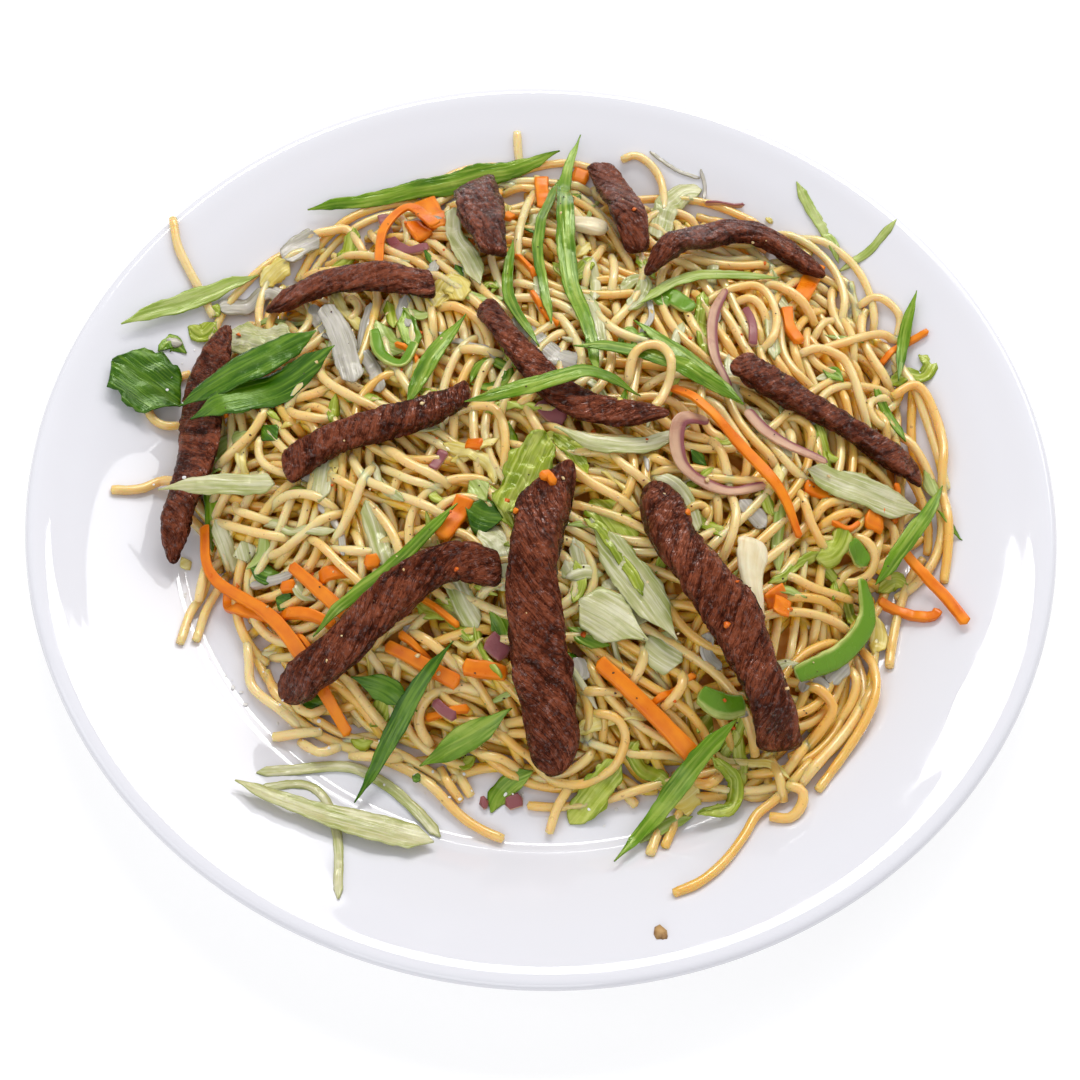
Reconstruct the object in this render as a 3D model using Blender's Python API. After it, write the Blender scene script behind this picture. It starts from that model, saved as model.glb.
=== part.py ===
"""A plate of chow mein: beef strips, spring onion, carrot, leek and cabbage on a heap of noodles.

The frame is in metres with +Z up. The origin is under the middle of the round plate, on the
surface that it stands on. Plan sizes below are written in millimetres, with +X to the right
and +Y away from the diner, and become metres where a mesh is made.

The heap is one solid: a low mound with the noodles that show fused onto it. Every topping is a
solid of its own, laid on the mound in the order in which the cook dropped them, so each rests
on what lies under it with a small gap.
"""

import math
import random
from typing import NamedTuple

import bmesh
import bpy
import numpy as np
from mathutils import Vector
from mathutils.bvhtree import BVHTree

MM = 0.001

# The plate, a plain coupe-rimmed dinner plate.
PLATE_RADIUS = 135.0
PLATE_SEGMENTS = 60
FOOT_INNER = 78.0
FOOT_OUTER = 85.0
WELL_RADIUS = 94.0
WELL_HEIGHT = 4.2
CREST_RADIUS = 128.5
CREST_HEIGHT = 19.5
EDGE_HEIGHT = 16.0
PLATE_TOP = (
    (0.0, WELL_HEIGHT),
    (WELL_RADIUS, WELL_HEIGHT),
    (101.0, 5.6),
    (108.0, 9.2),
    (118.0, 14.4),
    (125.0, 18.2),
    (CREST_RADIUS, CREST_HEIGHT),
    (132.0, 18.9),
    (PLATE_RADIUS, EDGE_HEIGHT),
)
PLATE_UNDER = (
    (PLATE_RADIUS - 1.5, 14.6),
    (CREST_RADIUS, 15.4),
    (120.0, 11.6),
    (104.0, 4.2),
    (FOOT_OUTER + 4.0, 1.6),
    (FOOT_OUTER, 0.0),
    (FOOT_INNER, 0.0),
    (FOOT_INNER - 2.0, 1.2),
    (0.0, 1.2),
)

# The heap's reach from the middle of the plate, one every 22.5 degrees from +X.
HEAP_REACH = (106, 110, 112, 107, 107, 106, 102, 106, 105, 92, 90, 85, 83, 90, 103, 97)
HEAP_PEAK = 31.0
HEAP_EDGE_INSET = 4.0
HEAP_EDGE_THICKNESS = 2.0
HEAP_SECTORS = 36
HEAP_RINGS = (0.2, 0.4, 0.58, 0.74, 0.87, 0.95, 1.0)

GAP = 0.4
CELL = 0.75
PLAN_HALF = 138.0

NOODLE_RADIUS = 1.35
NOODLE_SIDES = 5
NOODLE_STEP = 6.5
NOODLE_COUNT = 60
NOODLE_LONGEST = 84.0
NOODLE_SHORTEST = 15.0
NOODLE_SEED = 24
FUSED_DEPTH = 1.3


class Kind(NamedTuple):
    """How one kind of topping is cut and how it looks."""

    section: tuple  # across the strip: (share of the half width, share of the thickness)
    thickness: float
    pitch: float
    stiffness: int
    wave: float
    end_share: float  # size of the end rings, so that chunky pieces end round
    unevenness: float  # how far corners draw in, as a share of the section
    colour: tuple
    roughness: float


LEAF = ((-1.0, 0.0), (0.0, 0.9), (1.0, 0.0), (1.0, 1.0), (0.0, 1.9), (-1.0, 1.0))
SLAB = (
    (-1.0, 0.45),
    (-0.78, 0.08),
    (0.0, 0.0),
    (0.78, 0.08),
    (1.0, 0.45),
    (0.7, 0.92),
    (0.0, 1.0),
    (-0.7, 0.92),
)
BATON = ((-1.0, 0.0), (1.0, 0.0), (1.0, 1.0), (-1.0, 1.0))
ROUND = ((-1.0, 0.5), (-0.5, 0.0), (0.5, 0.0), (1.0, 0.5), (0.5, 1.0), (-0.5, 1.0))

KINDS = {
    "beef": Kind(SLAB, 5.5, 6.5, 5, 0.0, 0.62, 0.2, (0.13, 0.045, 0.035), 0.42),
    "blade": Kind(LEAF, 0.8, 8.0, 2, 1.0, 1.0, 0.0, (0.16, 0.36, 0.06), 0.35),
    "carrot": Kind(BATON, 2.4, 8.0, 3, 0.0, 0.9, 0.06, (0.85, 0.22, 0.02), 0.35),
    "leek": Kind(LEAF, 1.1, 7.0, 2, 0.8, 1.0, 0.0, (0.72, 0.76, 0.52), 0.3),
    "cabbage": Kind(LEAF, 1.1, 7.0, 2, 1.4, 1.0, 0.0, (0.55, 0.62, 0.16), 0.35),
    "onion": Kind(ROUND, 2.0, 6.0, 2, 0.0, 0.75, 0.08, (0.42, 0.25, 0.3), 0.3),
    "pepper": Kind(ROUND, 2.6, 6.0, 2, 0.0, 0.75, 0.1, (0.14, 0.38, 0.05), 0.25),
    "garlic": Kind(ROUND, 5.0, 5.0, 2, 0.0, 0.6, 0.12, (0.78, 0.7, 0.52), 0.25),
}


class Topping(NamedTuple):
    """One piece: its name, kind, route in the plan, and widths along it, in millimetres."""

    name: str
    kind: str
    route: tuple
    widths: tuple
    thickness: float = 0.0


# Small pieces half buried in the noodles, which are part of the heap's solid.
FUSED = (
    Topping("far_leek", "leek", ((36, 94), (34, 84), (32, 74)), (5, 7, 6)),
    Topping("middle_leek", "leek", ((-12, -29), (-8, -42)), (8, 6)),
    Topping("front_garlic", "garlic", ((27, -55), (34, -57)), (7, 8), 4.0),
    Topping("front_cabbage", "cabbage", ((21, -79), (16, -86), (9, -92)), (4, 6, 3)),
    Topping("end_carrot", "carrot", ((-14, -60), (-4, -61)), (4, 4)),
    Topping("middle_carrot", "carrot", ((-19, -17), (-25, -31)), (4, 3)),
    Topping("far_carrot", "carrot", ((75, 66), (69, 54)), (4, 3)),
)

# From the lowest to the highest. Each lies on those before it.
TOPPINGS = (
    Topping("leek_back_shred", "leek", ((-30, 87), (-29, 74), (-24, 62), (-20, 51)), (6, 5, 7, 5)),
    Topping("cabbage_left", "cabbage", ((-92, 41), (-82, 37), (-70, 33)), (6, 11, 8)),
    Topping("cabbage_middle", "cabbage", ((-9, -22), (-5, -12), (0, 0)), (8, 12, 6)),
    Topping("leek_front_wide", "leek", ((10, -43), (18, -47), (27, -53)), (8, 9, 3)),
    Topping("leek_front_long", "leek", ((12, -22), (17, -29), (24, -38), (34, -52)), (3, 7, 7, 3)),
    Topping("cabbage_rib", "cabbage", ((53, -24), (52, -34), (54, -46)), (9, 6, 3), 3.0),
    Topping("leek_under_beef", "leek", ((2, 0), (14, -2), (26, 0), (37, 7)), (2, 4, 4, 2)),
    Topping("leek_right", "leek", ((68, -1), (78, -3), (89, -4), (103, -4)), (5, 8, 8, 2)),
    Topping("leek_tongue", "leek", ((-63, 47), (-57, 35), (-51, 17)), (5, 9, 7)),
    Topping("garlic_back", "garlic", ((3, 79), (9, 78), (15, 77)), (5, 8, 6)),
    Topping("leek_fallen_wide", "leek", ((-70, -88), (-57, -92), (-44, -95), (-22, -99)), (4, 7, 8, 2)),
    Topping("cabbage_ribbon", "cabbage", ((44, -76), (50, -80), (49, -87), (41, -89)), (2, 3, 3, 2)),
    Topping("onion_right_arc", "onion", ((48, 57), (44, 45), (44, 32), (48, 21)), (2, 3, 3, 2)),
    Topping("onion_right_low", "onion", ((52, 15), (57, 9), (64, 4), (73, 0)), (3, 4, 3, 2)),
    Topping("onion_hook", "onion", ((42, 9), (34, 6), (35, -5), (46, -10), (57, -7)), (3, 4, 4, 3, 2)),
    Topping("pepper_curl", "pepper", ((-48, 36), (-45, 27), (-39, 24), (-36, 31)), (3, 4, 4, 3)),
    Topping("pepper_right", "pepper", ((83, -26), (84, -37), (77, -47), (64, -56)), (3, 6, 6, 4)),
    Topping("pepper_front", "pepper", ((40, -62), (46, -65), (52, -64)), (5, 7, 5)),
    Topping("carrot_back_curl", "carrot", ((-49, 57), (-50, 78), (-43, 87), (-34, 75)), (3, 3, 4, 4)),
    Topping("carrot_left_long", "carrot", ((-88, -19), (-84, -33), (-65, -47), (-45, -73)), (3, 3, 4, 3)),
    Topping("carrot_left_short", "carrot", ((-63, -33), (-47, -47)), (3, 4)),
    Topping("carrot_front", "carrot", ((-37, -54), (-18, -63)), (3, 4)),
    Topping("carrot_front_right", "carrot", ((15, -57), (28, -67), (41, -78)), (4, 4, 5), 3.2),
    Topping("carrot_chunk", "carrot", ((61, -37), (59, -45)), (5, 5), 3.6),
    Topping("carrot_long", "carrot", ((32, 19), (47, 4), (60, -9), (66, -20)), (3, 3, 4, 2)),
    Topping("carrot_right_end", "carrot", ((93, -14), (104, -28), (109, -38)), (3, 3, 3)),
    Topping("blade_far_left", "blade", ((-118, 38), (-103, 50), (-85, 64)), (2, 5, 2)),
    Topping("blade_far", "blade", ((-73, 86), (-47, 96), (-22, 104), (0, 113)), (2, 4, 6, 2)),
    Topping("leaf_left", "blade", ((-118, 27), (-110, 24), (-101, 21)), (9, 13, 7), 1.2),
    Topping("blade_right_back", "blade", ((23, 46), (37, 59), (64, 66)), (2, 4, 2)),
    Topping("blade_right_edge", "blade", ((103, 64), (100, 53), (97, 36)), (2, 3, 2)),
    Topping("blade_right_low", "blade", ((107, 4), (101, -7), (86, -29)), (2, 4, 3)),
    Topping("blade_middle_short", "blade", ((-23, 39), (-31, 25), (-37, 8)), (2, 5, 2)),
    Topping("blade_back_thin", "blade", ((0, 104), (-5, 70), (0, 38)), (2, 3, 2)),
    Topping("blade_back_long", "blade", ((6, 118), (2, 98), (4, 59), (10, 36), (13, 19)), (1, 4, 5, 4, 2)),
    Topping("blade_back_left", "blade", ((-12, 70), (-12, 48), (-3, 29)), (2, 3, 2)),
    Topping("blade_centre_right", "blade", ((22, 40), (34, 30), (51, 14)), (2, 5, 3)),
    Topping("blade_front_left", "blade", ((-21, -21), (-38, -38), (-55, -52)), (2, 4, 2)),
    Topping("leaf_front_left", "blade", ((-45, -61), (-36, -64), (-28, -69)), (3, 6, 3)),
    Topping("blade_front", "blade", ((-27, -80), (-15, -74), (-5, -68)), (3, 6, 3)),
    Topping("blade_front_right", "blade", ((49, -69), (39, -80), (21, -102)), (3, 5, 1)),
    Topping("beef_left", "beef", ((-89, 40), (-93, 22), (-92, 0), (-96, -29)), (9, 13, 12, 6), 5.0),
    Topping("beef_upper_left", "beef", ((-80, 47), (-66, 54), (-50, 53), (-32, 49)), (6, 10, 10, 10)),
    Topping("beef_far", "beef", ((-25, 99), (-22, 82), (-17, 59)), (13, 15, 9)),
    Topping("beef_far_middle", "beef", ((12, 109), (15, 100), (19, 86), (23, 67)), (10, 10, 10, 9)),
    Topping("beef_far_right", "beef", ((25, 57), (38, 72), (56, 83), (78, 70)), (6, 9, 10, 6)),
    Topping("beef_centre", "beef", ((-19, 43), (-7, 24), (8, 10), (31, 6)), (7, 9, 10, 7), 4.5),
    Topping("beef_right", "beef", ((49, 28), (64, 21), (79, 15), (101, 6)), (9, 9, 8, 9)),
    Topping("beef_middle_left", "beef", ((-67, -9), (-54, -1), (-35, 4), (-20, 13)), (10, 10, 9, 7)),
    Topping("beef_front_left", "beef", ((-62, -66), (-45, -55), (-24, -37), (-9, -38)), (10, 11, 10, 8)),
    Topping("beef_front", "beef", ((7, -9), (0, -26), (-1, -47), (7, -82)), (9, 17, 17, 15), 7.0),
    Topping("beef_front_right", "beef", ((28, -12), (33, -28), (48, -49), (61, -74)), (11, 16, 15, 12), 7.5),
    Topping("leek_left", "leek", ((-99, -14), (-86, -13), (-69, -12)), (2, 5, 5)),
    Topping("blade_left_low", "blade", ((-94, 7), (-82, 11), (-68, 16), (-57, 26)), (2, 6, 6, 2)),
    Topping("blade_left_high", "blade", ((-98, 12), (-84, 20), (-63, 34)), (2, 6, 3)),
    Topping("blade_over_beef", "blade", ((-21, 6), (-4, 12), (11, 17), (24, 15)), (2, 4, 4, 2)),
    Topping("blade_over_onion", "blade", ((6, 28), (24, 28), (38, 20), (50, 13)), (2, 4, 4, 2)),
    Topping("blade_front_tip", "blade", ((-20, -54), (-31, -70), (-42, -90)), (1, 5, 1)),
)

# Noodles that trail out of the heap, each from inside the mound to its free end.
STRAYS = (
    ((66, -70), (60, -86), (46, -101), (34, -108)),
    ((84, 34), (98, 28), (106, 19), (108, 10)),
    ((-76, -38), (-83, -42), (-90, -52)),
    ((-30, -76), (-20, -88), (-7, -97)),
    ((6, -78), (8, -88), (5, -95)),
    ((74, -60), (83, -64), (80, -78), (66, -86)),
)


def reach(angle, inset=0.0):
    """The heap's outline: its distance from the middle in the direction of angle, in radians."""
    turns = np.asarray(angle) / (2 * math.pi) % 1.0 * len(HEAP_REACH)
    first = np.floor(turns).astype(int) % len(HEAP_REACH)
    blend = (1 - np.cos((turns - np.floor(turns)) * math.pi)) / 2
    radii = np.array(HEAP_REACH, float)
    following = radii[(first + 1) % len(HEAP_REACH)]
    return radii[first] * (1 - blend) + following * blend - inset


def plate_height(x, y):
    """The plate's upper surface."""
    radii, heights = zip(*PLATE_TOP)
    return np.interp(np.hypot(x, y), radii, heights)


def mound_height(x, y):
    """The bare mound's upper surface, with lumps the size of a knot of noodles."""
    share = np.hypot(x, y) / reach(np.arctan2(y, x), HEAP_EDGE_INSET)
    dome = np.clip(1 - share**2.2, 0, 1) ** 0.78
    lumps = 1.1 * np.sin(x / 11 + 1.3) * np.cos(y / 13 - 0.7) + 0.7 * np.sin((x + y) / 8)
    low = plate_height(x, y) + GAP + HEAP_EDGE_THICKNESS
    return low + dome * (HEAP_PEAK - WELL_HEIGHT - HEAP_EDGE_THICKNESS + lumps)


class Ground:
    """The height of what lies highest at each place of the plan, on a square grid."""

    def __init__(self, mound):
        ticks = np.arange(-PLAN_HALF, PLAN_HALF + CELL, CELL)
        x, y = np.meshgrid(ticks, ticks, indexing="ij")
        self.height = plate_height(x, y)
        self.covered = np.zeros(x.shape, bool)
        corners = [vert.co for vert in mound.vertices]
        tree = BVHTree.FromPolygons(corners, [face.vertices for face in mound.polygons])
        for cell in zip(*np.nonzero(np.hypot(x, y) < max(HEAP_REACH))):
            above = Vector((x[cell] * MM, y[cell] * MM, 1.0))
            hit = tree.ray_cast(above, Vector((0, 0, -1)))[0]
            if hit:
                self.height[cell] = hit.z / MM

    @staticmethod
    def cells(x, y):
        """The grid indexes of plan points."""
        return tuple(np.rint((np.asarray(v) + PLAN_HALF) / CELL).astype(int) for v in (x, y))

    def under(self, x, y):
        """The highest ground within one cell of each point."""
        i, j = self.cells(x, y)
        around = [self.height[i + a, j + b] for a in (-1, 0, 1) for b in (-1, 0, 1)]
        return np.max(around, axis=0)

    def cover(self, x, y, top):
        """Raises the ground to the top of a piece that covers the points."""
        cells = self.cells(x, y)
        np.maximum.at(self.height, cells, top)
        self.covered[cells] = True

    def blocked(self, margin):
        """The cells closer than margin to a topping."""
        out = self.covered.copy()
        steps = int(math.ceil(margin / CELL))
        for a in range(-steps, steps + 1):
            for b in range(-steps, steps + 1):
                if math.hypot(a, b) * CELL <= margin:
                    out |= np.roll(self.covered, (a, b), axis=(0, 1))
        return out


def smooth_route(points, step):
    """Evenly spaced points on a Catmull-Rom curve through the given plan points."""
    points = np.array(points, float)
    ends = (2 * points[0] - points[1], 2 * points[-1] - points[-2])
    padded = np.vstack([ends[0], points, ends[1]])
    fine = []
    for before, start, end, after in zip(padded, padded[1:], padded[2:], padded[3:]):
        for t in np.linspace(0, 1, 24, endpoint=False):
            bend = (2 * before - 5 * start + 4 * end - after) * t * t
            twist = (3 * start - before - 3 * end + after) * t**3
            fine.append((2 * start + (end - before) * t + bend + twist) / 2)
    fine = np.array(fine + [points[-1]])
    travel = np.concatenate([[0], np.cumsum(np.hypot(*np.diff(fine, axis=0).T))])
    count = max(3, round(travel[-1] / step) + 1)
    marks = np.linspace(0, travel[-1], count)
    return np.stack([np.interp(marks, travel, fine[:, k]) for k in (0, 1)], axis=1)


def side_of(route):
    """The unit vector to the left of the route at each of its points."""
    along = np.gradient(route, axis=0)
    along /= np.hypot(along[:, 0], along[:, 1])[:, None]
    return np.stack([-along[:, 1], along[:, 0]], axis=1)


class Bed:
    """The place that one topping takes: rings along its route, fitted to the ground."""

    SUBSTEPS = 14
    ACROSS = 25

    def __init__(self, topping, ground):
        self.kind = KINDS[topping.kind]
        self.thickness = topping.thickness or self.kind.thickness
        self.route = smooth_route(topping.route, self.kind.pitch)
        self.side = side_of(self.route)
        count = len(self.route)
        marks = np.linspace(0, len(topping.widths) - 1, count)
        self.half = np.interp(marks, range(len(topping.widths)), topping.widths) / 2
        self.seed = sum(map(ord, topping.name))
        self.wave = self.kind.wave * (0.5 - 0.5 * np.cos(np.arange(count) * 2.1 + self.seed))
        self.tilt = self.fit_tilt(ground)
        self.base = self.fit_base(ground)

    def between(self, values):
        """Values at the rings, read at the points between them."""
        marks = np.linspace(0, len(self.route) - 1, (len(self.route) - 1) * self.SUBSTEPS + 1)
        return marks, np.stack([np.interp(marks, range(len(v)), v) for v in values.T], axis=1)

    def footprint(self):
        """Ring marks, offsets across, and plan points of a fine grid over the piece."""
        marks, route = self.between(self.route)
        side = self.between(self.side)[1]
        half = self.between(self.half[:, None])[1]
        offsets = half * np.linspace(-1, 1, self.ACROSS)
        x = route[:, :1] + side[:, :1] * offsets
        y = route[:, 1:] + side[:, 1:] * offsets
        return marks, offsets, x, y

    def fit_tilt(self, ground):
        """The slope across the piece at each ring, taken from the ground under it."""
        marks, offsets, x, y = self.footprint()
        height = ground.under(x, y)
        rise = ((height - height.mean(1, keepdims=True)) * offsets).sum(1)
        slope = np.clip(rise / (offsets**2).sum(1), -0.5, 0.5)
        near = [slope[np.abs(marks - i) <= 1.0].mean() for i in range(len(self.route))]
        return np.array(near)

    def fit_base(self, ground):
        """The lowest line that keeps the whole piece above the ground, drawn taut."""
        marks, offsets, x, y = self.footprint()
        tilt = self.between(self.tilt[:, None])[1]
        need = (ground.under(x, y) - tilt * offsets).max(1) + GAP
        first = np.minimum(marks.astype(int), len(self.route) - 2)
        share = marks - first
        base = np.interp(range(len(self.route)), marks, need)
        for _ in range(self.kind.stiffness):
            base[1:-1] = (base[:-2] + base[1:-1] + base[2:]) / 3
            for _ in range(40):
                short = need - base[first] * (1 - share) - base[first + 1] * share
                np.maximum.at(base, first, base[first] + short * (1 - share))
                np.maximum.at(base, first + 1, base[first + 1] + short * share)
        short = need - base[first] * (1 - share) - base[first + 1] * share
        return base + max(0.0, short.max())

    def rings(self):
        """The corners of each ring in space."""
        section = np.array(self.kind.section)
        shape = (len(self.route), len(section))
        draw = np.random.default_rng(self.seed).uniform(0, self.kind.unevenness, shape)
        size = 1 - draw
        size[[0, -1]] *= self.kind.end_share
        up = 0.5 + (section[:, 1] - 0.5) * size
        offsets = self.half[:, None] * section[:, 0] * size
        plan = self.route[:, None, :] + self.side[:, None, :] * offsets[..., None]
        rise = self.base[:, None] + self.wave[:, None] + self.tilt[:, None] * offsets
        return np.concatenate([plan, (rise + up * self.thickness)[..., None]], axis=2)

    def cover(self, ground):
        """Marks the piece on the ground, so that the next one lies over it."""
        _, offsets, x, y = self.footprint()
        base = self.between((self.base + self.wave)[:, None])[1]
        tilt = self.between(self.tilt[:, None])[1]
        tallest = max(v for _, v in self.kind.section) * self.thickness
        ground.cover(x, y, base + tilt * offsets + tallest)


def material(name, colour, roughness):
    """A plain material."""
    made = bpy.data.materials.new(name)
    made.use_nodes = True
    shader = made.node_tree.nodes["Principled BSDF"]
    shader.inputs["Base Color"].default_value = (*colour, 1.0)
    shader.inputs["Roughness"].default_value = roughness
    return made


def add_object(name, mesh, looks):
    """Puts a mesh into the scene as an object of its own."""
    made = bpy.data.objects.new(name, mesh)
    mesh.materials.append(looks)
    bpy.context.scene.collection.objects.link(made)
    return made


def finish_mesh(name, shape, smooth_angle=None):
    """Turns the faces outwards and writes the shape to a mesh."""
    bmesh.ops.recalc_face_normals(shape, faces=shape.faces)
    mesh = bpy.data.meshes.new(name)
    shape.to_mesh(mesh)
    shape.free()
    if smooth_angle is not None:
        mesh.shade_smooth()
        mesh.set_sharp_from_angle(angle=math.radians(smooth_angle))
    return mesh


def lofted(name, rings):
    """A closed mesh through rings of corners, with both halves of a ring split alike."""
    shape = bmesh.new()
    corners = [[shape.verts.new([c * MM for c in corner]) for corner in ring] for ring in rings]
    sides = len(corners[0])
    for near, far in zip(corners, corners[1:]):
        for k in range(sides):
            a, b = near[k], near[(k + 1) % sides]
            c, d = far[(k + 1) % sides], far[k]
            if k < sides // 2:
                shape.faces.new((a, b, c))
                shape.faces.new((a, c, d))
            else:
                shape.faces.new((a, b, d))
                shape.faces.new((b, c, d))
    shape.faces.new(corners[0])
    shape.faces.new(reversed(corners[-1]))
    bmesh.ops.triangulate(shape, faces=[f for f in shape.faces if len(f.verts) > 3])
    return finish_mesh(name, shape, 40)


def make_plate():
    """The plate, turned about its axis."""
    shape = bmesh.new()
    profile = [shape.verts.new((r * MM, 0, z * MM)) for r, z in PLATE_TOP + PLATE_UNDER]
    edges = [shape.edges.new(pair) for pair in zip(profile, profile[1:])]
    bmesh.ops.spin(
        shape,
        geom=profile + edges,
        axis=(0, 0, 1),
        cent=(0, 0, 0),
        steps=PLATE_SEGMENTS,
        angle=2 * math.pi,
    )
    bmesh.ops.remove_doubles(shape, verts=shape.verts, dist=0.01 * MM)
    mesh = finish_mesh("plate", shape, 50)
    add_object("plate", mesh, material("white_glaze", (0.82, 0.82, 0.84), 0.12))


def make_mound():
    """The bare mound: rings over its top, a blunt edge, and an underside that follows the well."""
    angles = np.arange(HEAP_SECTORS) * 2 * math.pi / HEAP_SECTORS
    edge = reach(angles, HEAP_EDGE_INSET)
    shape = bmesh.new()

    def ring(radii, heights):
        x, y = radii * np.cos(angles), radii * np.sin(angles)
        return [shape.verts.new(np.array(p) * MM) for p in zip(x, y, heights(x, y))]

    def underside(x, y):
        return plate_height(x, y) + GAP

    tops = [ring(edge * share, mound_height) for share in HEAP_RINGS]
    under = [ring(edge, underside), ring(np.minimum(edge, WELL_RADIUS - 1) * 0.97, underside)]
    for outer, inner in zip(tops + under, tops[1:] + under):
        if outer is inner:
            continue
        for k in range(HEAP_SECTORS):
            following = (k + 1) % HEAP_SECTORS
            shape.faces.new((outer[k], outer[following], inner[following], inner[k]))
    for rim, height in ((tops[0], float(mound_height(0.0, 0.0))), (under[-1], WELL_HEIGHT + GAP)):
        centre = shape.verts.new((0, 0, height * MM))
        for k in range(HEAP_SECTORS):
            shape.faces.new((rim[k], rim[(k + 1) % HEAP_SECTORS], centre))
    bmesh.ops.triangulate(shape, faces=shape.faces)
    looks = material("wheat_noodle", (0.72, 0.5, 0.27), 0.38)
    return add_object("noodles", finish_mesh("noodles", shape, 60), looks)


class NoodleLayer:
    """The noodles that show: seeded arcs on the mound that keep clear of toppings and plate."""

    def __init__(self, mound, ground):
        self.blocked = ground.blocked(NOODLE_RADIUS + 2 * GAP)
        self.laid = Ground(mound.data)
        self.rng = random.Random(NOODLE_SEED)

    def is_free(self, point):
        """Whether a noodle's middle may pass over this plan point."""
        if math.hypot(*point) > reach(math.atan2(point[1], point[0]), -1.0):
            return False
        return not self.blocked[Ground.cells(*point)]

    def wander(self, start, heading, turn, length):
        """Walks from start along an arc until something is in the way."""
        steps = []
        point = np.array(start, float)
        for _ in range(int(length / 2)):
            if not self.is_free(point):
                break
            steps.append(point.copy())
            heading += turn * 2
            point += 2 * np.array([math.cos(heading), math.sin(heading)])
        return steps

    def arc(self, index):
        """One noodle's plan route, moved a little when its place is taken, or None."""
        share = math.sqrt((index + 0.5) / NOODLE_COUNT)
        angle = index * math.radians(137.5)
        length = NOODLE_LONGEST * (1 - 0.5 * index / NOODLE_COUNT)
        best = []
        best_score = 0.0
        for attempt in range(24):
            spread = 1.5 * attempt
            radius = share * float(reach(angle, 2.0))
            start = (
                radius * math.cos(angle) + self.rng.uniform(-spread, spread),
                radius * math.sin(angle) + self.rng.uniform(-spread, spread),
            )
            heading = angle + math.pi / 2 + self.rng.uniform(-1.1, 1.1)
            turn = self.rng.choice((-1, 1)) / self.rng.uniform(16, 60)
            back = self.wander(start, heading + math.pi, -turn, length / 2)
            route = back[:0:-1] + self.wander(start, heading, turn, length / 2)
            crossed = sum(self.laid.covered[Ground.cells(*point)] for point in route)
            if len(route) - 1.5 * crossed > best_score:
                best = route
                best_score = len(route) - 1.5 * crossed
        if 2 * len(best) < NOODLE_SHORTEST:
            return None
        return best

    def lay(self, name, plan, looks):
        """A noodle through plan points, half sunk in the mound and over those laid before it."""
        route = smooth_route(plan, NOODLE_STEP)
        x, y = route.T
        sunk = self.laid.height[Ground.cells(x, y)] + 0.8
        height = np.maximum(sunk, plate_height(x, y) + GAP + 1.15 * NOODLE_RADIUS)
        height[1:-1] = np.maximum(height[1:-1], (height[:-2] + height[2:]) / 2)
        self.shade(x, y, height + 0.6)
        centre = np.column_stack([x, y, height])
        along = np.gradient(centre, axis=0)
        along /= np.linalg.norm(along, axis=1)[:, None]
        side = side_of(route)
        side = np.column_stack([side, np.zeros(len(side))])
        up = np.cross(along, side)
        turns = np.arange(NOODLE_SIDES) * 2 * math.pi / NOODLE_SIDES + math.pi / 2
        rings = [
            [c + NOODLE_RADIUS * (s * math.cos(t) + u * math.sin(t)) for t in turns]
            for c, s, u in zip(centre, side, up)
        ]
        return add_object(name, lofted(name, rings), looks)

    def shade(self, x, y, height):
        """Marks a noodle's width along its route, so that the next one climbs over it."""
        marks = np.linspace(0, len(x) - 1, len(x) * 12)
        x, y, height = (np.interp(marks, range(len(x)), v) for v in (x, y, height))
        for across in np.linspace(-NOODLE_RADIUS, NOODLE_RADIUS, 5):
            for down in np.linspace(-NOODLE_RADIUS, NOODLE_RADIUS, 5):
                self.laid.cover(x + across, y + down, height)

    def trimmed(self, plan):
        """The part of a trailing noodle that no topping covers, from its free end inwards."""
        free = []
        for point in smooth_route(plan, 2.0)[::-1]:
            if self.blocked[Ground.cells(*point)]:
                break
            free.append(point)
        return free[::3] + [free[-1]]

    def make(self, looks):
        """All the noodles, the trailing ones first."""
        made = [self.lay(f"stray_{k}", self.trimmed(s), looks) for k, s in enumerate(STRAYS)]
        for index in range(NOODLE_COUNT):
            plan = self.arc(index)
            if plan:
                made.append(self.lay(f"noodle_{index}", plan[::2] + [plan[-1]], looks))
        return made


def keep_outer_shell(mesh):
    """Leaves the largest shell, so sealed hollows are filled and loose scraps dropped."""
    shape = bmesh.new()
    shape.from_mesh(mesh)
    left = set(shape.verts)
    shells = []
    while left:
        shell = {left.pop()}
        front = list(shell)
        while front:
            vert = front.pop()
            linked = {edge.other_vert(vert) for edge in vert.link_edges}
            front.extend(linked - shell)
            shell |= linked
        left -= shell
        shells.append(shell)
    largest = max(shells, key=len)
    extra = [vert for shell in shells if shell is not largest for vert in shell]
    bmesh.ops.delete(shape, geom=extra, context="VERTS")
    bmesh.ops.triangulate(shape, faces=shape.faces)
    shape.to_mesh(mesh)
    shape.free()


def fuse(mound, pieces):
    """Joins the mound and what is half buried in it into one solid."""
    loose = bpy.data.collections.new("loose_pieces")
    for piece in pieces:
        bpy.context.scene.collection.objects.unlink(piece)
        loose.objects.link(piece)
    bpy.context.scene.collection.children.link(loose)
    union = mound.modifiers.new("fuse", "BOOLEAN")
    union.operation = "UNION"
    union.operand_type = "COLLECTION"
    union.collection = loose
    union.solver = "EXACT"
    graph = bpy.context.evaluated_depsgraph_get()
    fused = bpy.data.meshes.new_from_object(mound.evaluated_get(graph))
    mound.modifiers.clear()
    mound.data = fused
    for piece in list(loose.objects):
        bpy.data.objects.remove(piece)
    bpy.data.collections.remove(loose)
    keep_outer_shell(fused)


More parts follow.
